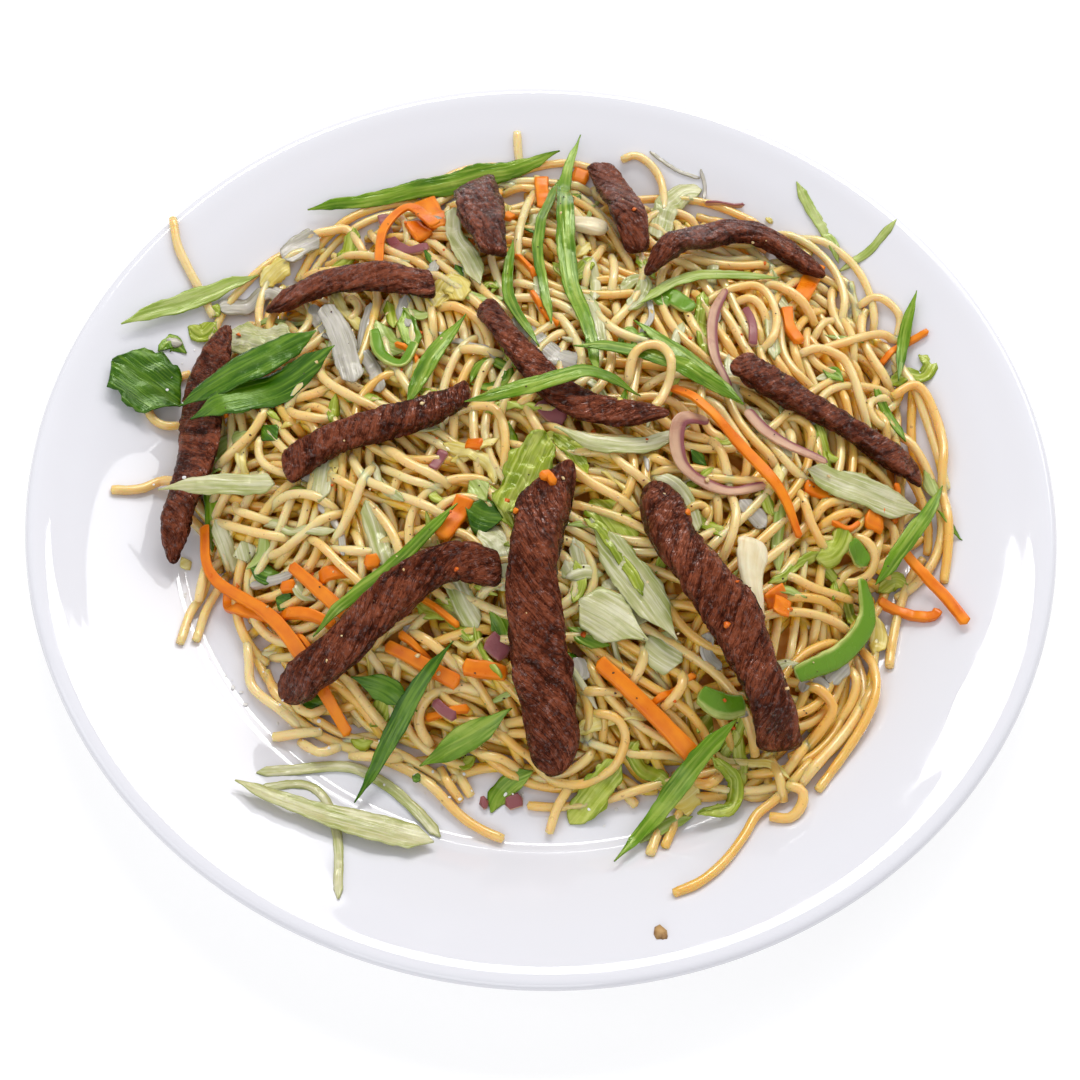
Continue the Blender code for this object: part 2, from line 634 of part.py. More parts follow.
def make_toppings(toppings, ground, depth=0.0):
    """Lays the toppings in their order, each this deep in what is under it."""
    made = []
    for topping in toppings:
        kind = KINDS[topping.kind]
        looks = bpy.data.materials.get(topping.kind)
        looks = looks or material(topping.kind, kind.colour, kind.roughness)
        bed = Bed(topping, ground)
        bed.base -= depth
        bed.cover(ground)
        made.append(add_object(topping.name, lofted(topping.name, bed.rings()), looks))
    return made


def main():
    for old in list(bpy.data.objects):
        bpy.data.objects.remove(old)
    make_plate()
    mound = make_mound()
    ground = Ground(mound.data)
    buried = make_toppings(FUSED, ground, FUSED_DEPTH)
    make_toppings(TOPPINGS, ground)
    noodles = NoodleLayer(mound, ground).make(mound.data.materials[0])
    fuse(mound, buried + noodles)


main()
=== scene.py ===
"""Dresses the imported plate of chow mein: real noodles, meat, vegetables, glaze and light.

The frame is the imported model, in metres. Plan places are written in millimetres from the middle
of the plate, with +X to the right and +Y away from the diner, as the model's own source has
them. Heights are read from the frame, so each piece lies where its solid lies.
"""

from __future__ import annotations

import logging
import math
import random
from dataclasses import dataclass, field
from enum import Enum
from typing import ClassVar, Sequence

import bpy
import numpy as np
from mathutils import Matrix, Vector
from mathutils.bvhtree import BVHTree


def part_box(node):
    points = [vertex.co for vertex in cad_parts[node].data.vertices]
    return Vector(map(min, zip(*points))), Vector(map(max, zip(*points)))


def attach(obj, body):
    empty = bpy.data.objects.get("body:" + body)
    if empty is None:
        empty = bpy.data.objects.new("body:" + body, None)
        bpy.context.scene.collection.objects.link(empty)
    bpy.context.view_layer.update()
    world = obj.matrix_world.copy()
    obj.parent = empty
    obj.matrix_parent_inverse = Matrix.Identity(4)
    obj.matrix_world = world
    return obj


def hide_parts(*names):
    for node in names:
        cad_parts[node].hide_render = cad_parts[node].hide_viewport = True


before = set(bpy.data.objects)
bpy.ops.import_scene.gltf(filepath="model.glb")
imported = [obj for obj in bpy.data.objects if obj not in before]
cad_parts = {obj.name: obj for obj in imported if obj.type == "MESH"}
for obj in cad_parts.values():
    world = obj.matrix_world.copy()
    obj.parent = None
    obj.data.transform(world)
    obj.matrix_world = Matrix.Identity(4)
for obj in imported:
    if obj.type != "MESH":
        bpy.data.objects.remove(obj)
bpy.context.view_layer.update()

MM = 0.001
BODY = "root"
LOG = logging.getLogger("chow_mein")
WELD = 0.004  # millimetres: points nearer than this are one
NOWHERE, SKY = -9.0, 99.0  # heights in millimetres that stand for nothing below and nothing above
GOLDEN_TURN = math.radians(137.508)

Colour = tuple[float, float, float]
Place = tuple[float, float]


class Material(Enum):
    """The material slots."""

    GLAZE = "white_glaze"
    NOODLE = "wheat_noodle"
    BEEF = "beef"
    BLADE = "blade"
    CARROT = "carrot"
    LEEK = "leek"
    CABBAGE = "cabbage"
    ONION = "onion"
    PEPPER = "pepper"
    GARLIC = "garlic"


class Tint(Enum):
    """How a leaf is coloured: (deep colour, light colour, rib colour)."""

    FRESH = ((0.045, 0.13, 0.001), (0.13, 0.26, 0.006), (0.34, 0.43, 0.07))
    DEEP = ((0.012, 0.06, 0.0005), (0.04, 0.125, 0.001), (0.15, 0.27, 0.02))
    SOFT = ((0.19, 0.28, 0.03), (0.34, 0.43, 0.09), (0.52, 0.57, 0.24))
    PALE = ((0.29, 0.33, 0.075), (0.52, 0.5, 0.26), (0.71, 0.69, 0.49))
    WHITE = ((0.3, 0.28, 0.215), (0.43, 0.4, 0.335), (0.62, 0.585, 0.52))
    LIME = ((0.13, 0.2, 0.004), (0.32, 0.39, 0.025), (0.6, 0.63, 0.17))
    YELLOW = ((0.56, 0.4, 0.05), (0.7, 0.58, 0.16), (0.8, 0.72, 0.36))


@dataclass(frozen=True)
class Cut:
    """One topping: its node, its route and widths in the plan, its tint and how far its ends taper."""

    node: str
    route: tuple[Place, ...]
    widths: tuple[float, ...]
    tint: Tint = Tint.FRESH
    tapers: Place = (7.0, 7.0)


BEEF_CUTS = (
    Cut("beef_left", ((-89, 40), (-93, 22), (-92, 0), (-96, -29)), (8, 12, 11, 6), tapers=(11, 8)),
    Cut("beef_upper_left", ((-80, 47), (-66, 54), (-50, 53), (-32, 49)), (6, 9.5, 9.5, 9.5), tapers=(9, 2)),
    Cut("beef_far", ((-25, 99), (-22, 82), (-17, 59)), (12, 13, 7), tapers=(2.5, 2)),
    Cut("beef_far_middle", ((12, 109), (15, 100), (19, 86), (23, 67)), (8, 9, 9.5, 8), tapers=(2, 3.5)),
    Cut("beef_far_right", ((25, 57), (38, 72), (56, 83), (78, 70)), (5, 8.5, 9, 5), tapers=(10, 7)),
    Cut("beef_centre", ((-19, 43), (-7, 24), (8, 10), (31, 6)), (6, 7.5, 9, 6), tapers=(3, 9)),
    Cut("beef_right", ((49, 28), (64, 21), (79, 15), (101, 6)), (9.5, 8, 7, 8.5), tapers=(3, 1.6)),
    Cut("beef_middle_left", ((-67, -9), (-54, -1), (-35, 4), (-20, 13)), (9, 8, 8, 6.5), tapers=(3, 2.5)),
    Cut("beef_front_left", ((-62, -66), (-45, -55), (-24, -37), (-9, -38)),
        (8.5, 10, 9, 8), tapers=(6, 2.2)),
    Cut("beef_front", ((7, -9), (0, -26), (-1, -47), (7, -82)),
        (7, 12.2, 12, 12.6, 13.4, 10), tapers=(13, 6)),
    Cut("beef_front_right", ((28, -12), (33, -28), (48, -49), (61, -74)),
        (9.5, 12, 11.5, 10), tapers=(6, 2.2)),
)
LEAF_CUTS = {
    Material.BLADE: (
        Cut("blade_far_left", ((-118, 38), (-103, 50), (-85, 64)), (2, 5, 2), Tint.SOFT),
        Cut("blade_far", ((-73, 86), (-47, 96), (-22, 104), (0, 113)), (2, 4, 6, 2), Tint.FRESH),
        Cut("leaf_left", ((-119, 27), (-110, 23), (-101, 19)), (13, 18, 13), Tint.DEEP, (4, 4)),
        Cut("blade_right_back", ((23, 46), (37, 59), (64, 66)), (2, 4, 2), Tint.SOFT),
        Cut("blade_right_edge", ((103, 64), (100, 53), (97, 36)), (2, 3, 2), Tint.FRESH),
        Cut("blade_right_low", ((107, 4), (101, -7), (86, -29)), (2, 4, 3), Tint.FRESH),
        Cut("blade_middle_short", ((-23, 39), (-31, 25), (-37, 8)), (2, 5, 2), Tint.FRESH),
        Cut("blade_back_thin", ((0, 104), (-5, 70), (0, 38)), (2, 3, 2), Tint.FRESH),
        Cut("blade_back_long", ((6, 118), (2, 98), (4, 59), (10, 36), (13, 19)), (1, 4, 5, 4, 2)),
        Cut("blade_back_left", ((-12, 70), (-12, 48), (-3, 29)), (2, 3, 2), Tint.FRESH),
        Cut("blade_centre_right", ((22, 40), (34, 30), (51, 14)), (2, 5, 3), Tint.FRESH),
        Cut("blade_front_left", ((-21, -21), (-38, -38), (-55, -52)), (2, 4, 2), Tint.FRESH),
        Cut("leaf_front_left", ((-45, -61), (-36, -64), (-28, -69)), (3, 6, 3), Tint.DEEP),
        Cut("blade_front", ((-27, -80), (-15, -74), (-5, -68)), (3, 6, 3), Tint.FRESH),
        Cut("blade_front_right", ((49, -69), (39, -80), (21, -102)), (3, 5, 1), Tint.FRESH),
        Cut("blade_left_low", ((-94, 7.5), (-83, 13), (-69, 19), (-57, 27)), (3, 9.5, 9, 3.5), Tint.DEEP),
        Cut("blade_left_high", ((-98, 12), (-84, 20), (-63, 34)), (3, 10, 5), Tint.DEEP),
        Cut("blade_over_beef", ((-21, 6), (-4, 12), (11, 17), (24, 15)), (2, 4, 4, 2), Tint.FRESH),
        Cut("blade_over_onion", ((6, 28), (24, 28), (38, 20), (50, 13)), (2, 4, 4, 2), Tint.FRESH),
        Cut("blade_front_tip", ((-20, -54), (-31, -70), (-42, -90)), (1, 5, 1), Tint.DEEP),
    ),
    Material.LEEK: (
        Cut("leek_back_shred", ((-30, 87), (-29, 74), (-24, 62), (-20, 51)),
            (5, 4, 6, 4), Tint.PALE, (2, 5)),
        Cut("leek_front_wide", ((10, -43), (18, -47), (27, -53)), (10, 11.5, 5), Tint.PALE, (3, 10)),
        Cut("leek_front_long", ((12, -22), (17, -29), (24, -38), (34, -52)),
            (4, 8, 9, 4), Tint.PALE, (9, 9)),
        Cut("leek_under_beef", ((2, 0), (14, -2), (26, 0), (37, 7)), (2, 4, 4, 2), Tint.PALE),
        Cut("leek_right", ((68, -1), (78, -3), (89, -4), (103, -4)), (5, 8, 8, 2), Tint.PALE, (3, 9)),
        Cut("leek_tongue", ((-63, 47), (-57, 35), (-51, 17)), (4.5, 6.5, 5.5), Tint.WHITE, (1.5, 1.5)),
        Cut("leek_fallen_wide", ((-70, -88), (-57, -92), (-44, -95), (-22, -99)),
            (2.5, 4, 7, 6), Tint.PALE, (6, 5)),
        Cut("leek_left", ((-99, -14), (-86, -13), (-69, -12)), (2, 5, 5), Tint.PALE, (9, 2)),
    ),
    Material.CABBAGE: (
        Cut("cabbage_left", ((-92, 41), (-82, 37), (-70, 33)), (7, 11, 9), Tint.PALE, (4, 4)),
        Cut("cabbage_middle", ((-9, -22), (-5, -12), (0, 0)), (8, 11, 6), Tint.LIME, (2, 2)),
        Cut("cabbage_ribbon", ((44, -76), (50, -80), (49, -87), (41, -89)),
            (2, 3, 3, 2), Tint.LIME, (2, 2)),
    ),
}
CARROT_CUTS = (
    Cut("carrot_back_curl", ((-49, 57), (-50, 78), (-43, 87), (-34, 75)), (3, 3, 4, 4)),
    Cut("carrot_left_long", ((-88, -19), (-84, -33), (-65, -47), (-45, -73)), (3, 3, 4, 3)),
    Cut("carrot_left_short", ((-63, -33), (-47, -47)), (3, 4)),
    Cut("carrot_front", ((-37, -54), (-18, -63)), (3, 4)),
    Cut("carrot_front_right", ((15, -57), (28, -67), (41, -78)), (4, 4, 5)),
    Cut("carrot_chunk", ((61, -37), (59, -45)), (5, 5)),
    Cut("carrot_long", ((32, 19), (47, 4), (60, -9), (66, -20)), (3, 3, 4, 2)),
    Cut("carrot_right_end", ((93, -14), (104, -28), (109, -38)), (3, 3, 3)),
)
ONION_CUTS = (
    Cut("onion_right_arc", ((48, 57), (44, 45), (44, 32), (48, 21)), (2, 3, 3, 2)),
    Cut("onion_right_low", ((52, 15), (57, 9), (64, 4), (73, 0)), (3, 4, 3, 2)),
    Cut("onion_hook", ((42, 9), (34, 6), (35, -5), (46, -10), (57, -7)), (3, 4, 4, 3, 2)),
)
PEPPER_CUTS = (
    Cut("pepper_curl", ((-48, 36), (-45, 27), (-39, 24), (-36, 31)), (3, 4, 4, 3), Tint.SOFT),
    Cut("pepper_right", ((83, -26), (84, -37), (77, -47), (64, -56)), (3, 6, 6, 4), Tint.DEEP),
    Cut("pepper_front", ((40, -62), (46, -65), (52, -64)), (5, 7, 5), Tint.DEEP),
)
GARLIC_CUTS = (
    Cut("garlic_back", ((3, 79), (9, 78), (15, 77)), (5, 8, 6)),
    Cut("cabbage_rib", ((53, -24), (52, -34), (54, -46)), (9, 6, 3)),
)


class Look(Enum):
    """What a small piece is: its slot, its tint and its thickness in millimetres."""

    GREEN = (Material.BLADE, Tint.FRESH, 0.35)
    DARK = (Material.BLADE, Tint.DEEP, 0.4)
    SOFT = (Material.BLADE, Tint.SOFT, 0.35)
    LIME = (Material.CABBAGE, Tint.LIME, 0.5)
    YELLOW = (Material.CABBAGE, Tint.YELLOW, 0.6)
    PALE = (Material.LEEK, Tint.PALE, 0.55)
    WHITE = (Material.LEEK, Tint.WHITE, 0.5)
    CARROT = (Material.CARROT, None, 2.2)
    ONION = (Material.ONION, None, 1.5)
    PEPPER = (Material.PEPPER, None, 1.8)
    GARLIC = (Material.GARLIC, None, 4.0)


# Small pieces that have no solid of their own: each look's width in millimetres, then places
# in the picture. The first lie under the highest noodles, the next over them, the last on
# other toppings.
Shred = tuple[float | Place, ...]
LOW_SHREDS: dict[Look, tuple[Shred, ...]] = {
    Look.GREEN: (
        (3.2, (207, 470), (210, 505), (211, 530), (214, 556)), (5, (158, 350), (170, 340), (186, 352)),
        (4.5, (568, 625), (588, 638), (610, 645)), (4, (570, 197), (581, 192)),
        (5, (490, 610), (500, 625), (505, 642)), (3, (508, 418), (511, 435), (514, 452)),
    ),
    Look.DARK: (
        (5, (250, 566), (265, 573), (282, 571)), (5, (276, 598), (292, 606)),
        (5.5, (298, 698), (313, 702), (327, 699)), (5, (525, 220), (537, 232)),
        (3.5, (567, 650), (576, 664)), (3, (608, 579), (640, 600), (662, 613)), (4, (727, 570), (740, 594)),
        (2.4, (413, 778), (421, 783)), (4, (525, 505), (528, 488), (538, 483)), (3, (455, 265), (463, 277)),
        (5, (262, 425), (277, 441)),
    ),
    Look.SOFT: ((6, (376, 322), (388, 342), (408, 348)),),
    Look.LIME: (
        (8, (592, 495), (612, 520), (632, 548)), (3, (703, 293), (702, 330), (709, 358)),
        (5, (330, 264), (345, 255), (356, 240)), (4, (880, 589), (893, 583), (906, 588)),
        (5, (415, 598), (432, 607), (450, 612), (468, 628), (480, 643)),
        (4.5, (553, 262), (575, 273), (593, 262)), (5, (388, 690), (383, 710), (372, 732)),
        (5.5, (188, 325), (202, 333), (217, 325)), (4, (455, 763), (466, 766), (475, 755)),
        (3, (352, 742), (363, 748), (374, 745)),
    ),
    Look.YELLOW: (
        (4, (872, 620), (878, 638), (873, 656)), (5, (500, 205), (506, 223)), (4, (575, 256), (589, 243)),
        (7, (671, 806), (685, 800), (698, 789)), (3, (421, 548), (432, 540), (441, 545)),
        (5, (262, 291), (275, 277), (290, 266)), (4, (180, 565), (190, 560)),
    ),
    Look.PALE: (
        (3.2, (539, 272), (540, 290), (541, 309)), (4.8, (575, 283), (590, 310), (600, 347)),
        (8, (479, 526), (497, 546), (508, 592)), (4, (216, 521), (226, 545), (233, 569)),
        (6.5, (702, 189), (682, 195), (664, 214), (659, 236)), (6, (243, 543), (247, 562)),
        (9, (603, 580), (628, 598), (656, 616)), (9, (648, 636), (662, 650), (682, 662)),
        (3.5, (574, 538), (579, 556), (584, 575)),
        (2.5, (256, 772), (300, 768), (345, 766), (380, 780), (412, 806), (440, 836)),
        (2, (256, 788), (300, 783), (322, 795), (333, 820), (338, 850), (338, 898)),
        (5, (565, 560), (576, 582)),
    ),
    Look.WHITE: (
        (5.5, (513, 318), (545, 345), (577, 362)), (6, (302, 480), (313, 468)),
        (6, (284, 264), (300, 252), (320, 244)), (0.9, (650, 150), (675, 168), (700, 177)),
        (0.9, (701, 168), (705, 185), (703, 203)), (4, (574, 656), (581, 668), (578, 680)),
        (4, (880, 370), (896, 361)), (4, (828, 682), (846, 664)), (4, (404, 625), (417, 637)),
        (3, (166, 338), (182, 343)),
    ),
    Look.CARROT: (
        (7, (422, 203), (441, 227)), (5, (411, 226), (426, 239)), (4.6, (456, 224), (471, 256)),
        (4, (541, 184), (544, 206)), (5, (571, 178), (589, 182)), (3, (504, 221), (513, 214)),
        (6.5, (770, 590), (778, 602), (783, 616)), (3, (280, 590), (297, 586)),
        (3.5, (317, 580), (335, 572), (350, 568)), (3, (364, 566), (381, 562)),
        (4.5, (466, 496), (456, 516), (440, 541)), (4, (462, 668), (508, 675)), (5, (817, 268), (799, 302)),
        (3, (464, 444), (484, 448)), (2.5, (875, 605), (900, 614), (930, 617), (939, 609)),
    ),
    Look.ONION: (
        (3.3, (383, 217), (392, 240), (408, 250), (430, 248)), (2.2, (745, 305), (752, 325), (753, 346)),
        (5, (486, 640), (497, 648), (507, 657)), (3, (479, 804), (489, 801)), (3.6, (505, 805), (523, 798)),
        (0.7, (703, 208), (722, 207), (745, 205)), (5, (538, 400), (552, 410), (567, 416)),
    ),
    Look.PEPPER: ((5.5, (657, 303), (668, 294), (681, 301), (693, 311)),),
}
HIGH_SHREDS: dict[Look, tuple[Shred, ...]] = {
    Look.GREEN: (
        (2.5, (470, 381), (477, 366), (494, 357), (508, 366), (506, 379), (488, 385), (471, 382)),
        (2, (620, 346), (623, 334), (632, 330), (636, 340), (628, 350)),
        (2, (632, 346), (642, 336), (652, 342), (648, 353)), (5, (823, 368), (834, 374), (843, 383)),
        (2.5, (872, 384), (886, 406), (906, 441)), (1.5, (935, 515), (950, 530), (963, 539)),
        (4.8, (491, 812), (498, 796), (512, 784), (533, 776)),
        (2.4, (565, 390), (590, 402), (608, 408), (622, 398), (626, 385)),
        (5, (404, 312), (410, 330), (414, 350)),
    ),
    Look.DARK: (
        (8.5, (465, 506), (484, 513), (503, 519)), (1.5, (424, 250), (433, 263)),
        (3.4, (691, 448), (707, 463)),
    ),
    Look.SOFT: (
        (2, (514, 250), (500, 278), (490, 294)), (2.8, (797, 180), (815, 215), (830, 240), (838, 264)),
        (2.2, (839, 271), (852, 263), (869, 250), (884, 233), (897, 218)),
        (2.8, (693, 816), (670, 825), (640, 842)),
        (4.5, (249, 432), (228, 438), (212, 450), (210, 464), (221, 470)), (3, (921, 477), (936, 506)),
        (5.5, (470, 476), (486, 501)), (3, (403, 310), (420, 314), (437, 311)),
    ),
    Look.LIME: (
        (4, (890, 382), (906, 379), (924, 374), (930, 362), (919, 355)),
        (2, (768, 584), (786, 576), (802, 560), (820, 553)),
        (5, (816, 557), (830, 557), (840, 545), (844, 529)), (2, (836, 578), (833, 601)),
        (2, (683, 488), (698, 480), (713, 469)), (3, (387, 300), (391, 312), (394, 327)),
        (2.7, (336, 395), (333, 410), (331, 423)), (2.5, (762, 489), (767, 502), (773, 516)),
        (3.5, (553, 435), (567, 447), (577, 461), (587, 478)), (6.5, (619, 764), (600, 790), (570, 823)),
        (3.5, (640, 738), (632, 752), (640, 770), (655, 780), (669, 793)),
        (3, (738, 722), (740, 745), (740, 770), (738, 793)), (4.5, (697, 733), (706, 720), (713, 707)),
        (2.5, (478, 293), (488, 283), (499, 288)), (4, (209, 309), (221, 319)),
        (3, (815, 415), (820, 435), (829, 453), (841, 460)), (1.6, (262, 408), (280, 420)),
    ),
    Look.YELLOW: (
        (6.5, (383, 374), (401, 368), (424, 362)), (6.5, (432, 306), (441, 292), (453, 283), (463, 300)),
        (3, (443, 442), (456, 447), (475, 455), (491, 463), (495, 481)),
        (1.5, (443, 630), (455, 640), (470, 648), (483, 640)),
        (1.8, (716, 746), (728, 758), (745, 764), (765, 768), (786, 785)), (3, (484, 396), (496, 385)),
    ),
    Look.PALE: (
        (4.4, (326, 452), (323, 478), (320, 506)), (4.6, (366, 502), (374, 522), (380, 545), (388, 567)),
        (2.2, (264, 526), (276, 524), (290, 532), (310, 534), (336, 531)),
        (5.2, (451, 568), (462, 598), (478, 629)),
        (3.5, (621, 291), (632, 280), (645, 283), (640, 298), (627, 311)),
        (2.5, (672, 351), (678, 336), (683, 321)),
        (4, (655, 476), (670, 484), (682, 494), (690, 508), (698, 529)),
        (3.4, (748, 404), (762, 425), (778, 440), (791, 459)), (3.5, (566, 579), (585, 572), (604, 572)),
    ),
    Look.WHITE: (
        (4.5, (740, 500), (752, 512), (766, 526)), (4.3, (219, 312), (245, 306), (270, 297), (286, 292)),
        (3.4, (313, 304), (319, 320), (331, 337)), (2.6, (371, 304), (364, 330), (360, 350)),
        (3.6, (359, 348), (373, 364), (379, 389)), (2.2, (250, 586), (265, 580), (280, 577), (293, 572)),
        (2.4, (803, 690), (808, 678), (820, 678), (829, 691)), (2.4, (728, 706), (738, 710), (748, 716)),
        (3.6, (809, 416), (822, 431)), (1.0, (645, 441), (648, 471)),
    ),
    Look.CARROT: (
        (3.2, (786, 308), (790, 328), (800, 346)), (2, (929, 331), (910, 342), (895, 351), (881, 361)),
        (2.5, (240, 586), (230, 597), (229, 608), (238, 615), (262, 615), (290, 614), (315, 619), (336, 628)),
        (3.5, (804, 484), (825, 492), (846, 500)), (5, (864, 517), (873, 522), (884, 528)),
    ),
    Look.ONION: ((2.6, (445, 450), (438, 461), (431, 472)), (2.4, (433, 702), (444, 714), (457, 722))),
    Look.PEPPER: ((4.2, (848, 544), (858, 555), (866, 569)),),
}
OVER_SHREDS: dict[Look, tuple[Shred, ...]] = {
    Look.LIME: ((2.4, (584, 520), (602, 535), (618, 558), (633, 580), (642, 600)),),
    Look.YELLOW: (
        (3.6, (237, 478), (246, 481), (253, 478)), (1.6, (616, 408), (622, 414)),
        (1.6, (766, 218), (773, 221)),
    ),
    Look.CARROT: (
        (2.2, (540, 502), (546, 496), (554, 506)), (1.8, (681, 524), (688, 528)),
        (1.6, (513, 535), (518, 531)),
    ),
}


# ---------------------------------------------------------------------------------------
# Shaders
# ---------------------------------------------------------------------------------------


class Shader:
    """A material's node tree, built one node at a time round its Principled shader."""

    def __init__(self, name: str) -> None:
        """Makes the material.

        Args:
            name: the material's name.
        """
        self.material = bpy.data.materials.new(name)
        self.material.use_nodes = True
        self.tree = self.material.node_tree
        self.surface = self.tree.nodes["Principled BSDF"]

    def set(self, **values: float | tuple[float, ...]) -> None:
        """Sets the surface's own sockets.

        Args:
            values: socket names in lower case with _ for spaces, and their values.
        """
        sockets = {socket.name.lower().replace(" ", "_"): socket for socket in self.surface.inputs}
        for name, value in values.items():
            sockets[name].default_value = value

    def node(self, kind: str, settings: dict | None = None, **inputs) -> bpy.types.Node:
        """Adds a node.

        Args:
            kind: the node's type.
            settings: its properties.
            inputs: its sockets, each a value or a socket to link from.

        Returns:
            The node.
        """
        made = self.tree.nodes.new(kind)
        for name, value in (settings or {}).items():
            setattr(made, name, value)
        sockets = {socket.name.lower().replace(" ", "_"): socket for socket in reversed(made.inputs)}
        for name, value in inputs.items():
            if isinstance(value, bpy.types.NodeSocket):
                self.tree.links.new(value, sockets[name])
            else:
                sockets[name].default_value = value
        return made

    def link(self, source: bpy.types.NodeSocket, target: str) -> None:
        """Links a socket to one of the surface's.

        Args:
            source: the socket to link from.
            target: the surface's socket name.
        """
        self.tree.links.new(source, self.surface.inputs[target])

    def place(self, stretch: tuple[float, float, float], use_uv: bool = False) -> bpy.types.NodeSocket:
        """Coordinates, stretched.

        Args:
            stretch: how often a pattern repeats along each axis, per unit.
            use_uv: whether to read the piece's UV map and not its place.

        Returns:
            The coordinate socket.
        """
        coordinates = self.node("ShaderNodeTexCoord").outputs["UV" if use_uv else "Object"]
        return self.node("ShaderNodeMapping", vector=coordinates, scale=stretch).outputs[0]

    def noise(self, place: bpy.types.NodeSocket, scale: float, detail: float = 3.0) -> bpy.types.NodeSocket:
        """Cloudy noise from 0 to 1.

        Args:
            place: the coordinates.
            scale: its scale.
            detail: its finer octaves.

        Returns:
            The factor socket.
        """
        return self.node("ShaderNodeTexNoise", vector=place, scale=scale, detail=detail).outputs["Fac"]

    def ramp(self, factor: bpy.types.NodeSocket,
             stops: Sequence[tuple[float, Colour]]) -> bpy.types.NodeSocket:
        """Colours along a factor.

        Args:
            factor: the factor socket.
            stops: (position, colour) pairs in order.

        Returns:
            The colour socket.
        """
        made = self.node("ShaderNodeValToRGB", fac=factor)
        elements = made.color_ramp.elements
        while len(elements) < len(stops):
            elements.new(0.5)
        for element, (position, colour) in zip(elements, stops):
            element.position = position
            element.color = (*colour, 1.0)
        return made.outputs["Color"]

    def level(self, factor: bpy.types.NodeSocket, low: float, high: float,
              to_low: float = 0.0, to_high: float = 1.0) -> bpy.types.NodeSocket:
        """Stretches a factor between two levels onto another range.

        Args:
            factor: the factor socket.
            low: the factor that becomes to_low.
            high: the factor that becomes to_high.
            to_low: the lower end of the result.
            to_high: the upper end of the result.

        Returns:
            The stretched factor.
        """
        made = self.node("ShaderNodeMapRange", value=factor, from_min=low, from_max=high,
                         to_min=to_low, to_max=to_high)
        return made.outputs["Result"]

    def maths(self, operation: str, first: bpy.types.NodeSocket,
              second: bpy.types.NodeSocket | float) -> bpy.types.NodeSocket:
        """One sum of two numbers.

        Args:
            operation: the operation's name.
            first: the first number's socket.
            second: the second number, or its socket.

        Returns:
            The result.
        """
        made = self.node("ShaderNodeMath", {"operation": operation})
        self.tree.links.new(first, made.inputs[0])
        if isinstance(second, bpy.types.NodeSocket):
            self.tree.links.new(second, made.inputs[1])
        else:
            made.inputs[1].default_value = second
        return made.outputs[0]

    def weighed(self, *parts: tuple[bpy.types.NodeSocket, float]) -> bpy.types.NodeSocket:
        """The sum of some numbers, each times its weight.

        Args:
            parts: (number, weight) pairs.

        Returns:
            The sum.
        """
        scaled = [self.maths("MULTIPLY", number, weight) for number, weight in parts]
        total = scaled[0]
        for part in scaled[1:]:
            total = self.maths("ADD", total, part)
        return total

    def along(self, squeeze: float, scale: float, detail: float = 3.0) -> bpy.types.NodeSocket:
        """Noise drawn out along the piece, by its UV map.

        Args:
            squeeze: how slowly it changes along the piece, as a share of how it changes across.
            scale: its scale across the piece.
            detail: its finer octaves.

        Returns:
            The factor socket.
        """
        return self.noise(self.place((1.0, squeeze, 1.0), use_uv=True), scale, detail)

    def mix(self, factor: bpy.types.NodeSocket | float, first: bpy.types.NodeSocket | Colour,
            second: bpy.types.NodeSocket | Colour, blend: str = "MIX") -> bpy.types.NodeSocket:
        """Mixes two colours.

        Args:
            factor: how much of the second.
            first: the first colour.
            second: the second colour.
            blend: the way of mixing.

        Returns:
            The mixed colour.
        """
        made = self.node("ShaderNodeMix", {"data_type": "RGBA", "blend_type": blend})
        for socket, value in ((made.inputs[0], factor), (made.inputs[6], first), (made.inputs[7], second)):
            if isinstance(value, bpy.types.NodeSocket):
                self.tree.links.new(value, socket)
            elif isinstance(value, tuple):
                socket.default_value = (*value, 1.0)
            else:
                socket.default_value = value
        return made.outputs[2]

    def attribute(self, name: str) -> bpy.types.NodeSocket:
        """A number stored on the mesh's points."""
        return self.node("ShaderNodeAttribute", {"attribute_name": name}).outputs["Fac"]

    def bump(self, height: bpy.types.NodeSocket, strength: float, distance: float) -> None:
        """Raises the surface by a height, in metres.

        Args:
            height: the height socket, from 0 to 1.
            strength: how strongly it shows.
            distance: how high 1 is, in metres.
        """
        made = self.node("ShaderNodeBump", strength=strength, distance=distance, height=height)
        self.link(made.outputs["Normal"], "Normal")
        self.link(made.outputs["Normal"], "Coat Normal")


def sheen(colour: Colour) -> tuple[float, float, float, float]:
    """The tint of a moist surface's gloss: halfway between white and its own full colour."""
    return (*(0.5 + 0.5 * channel / max(colour) for channel in colour), 1.0)


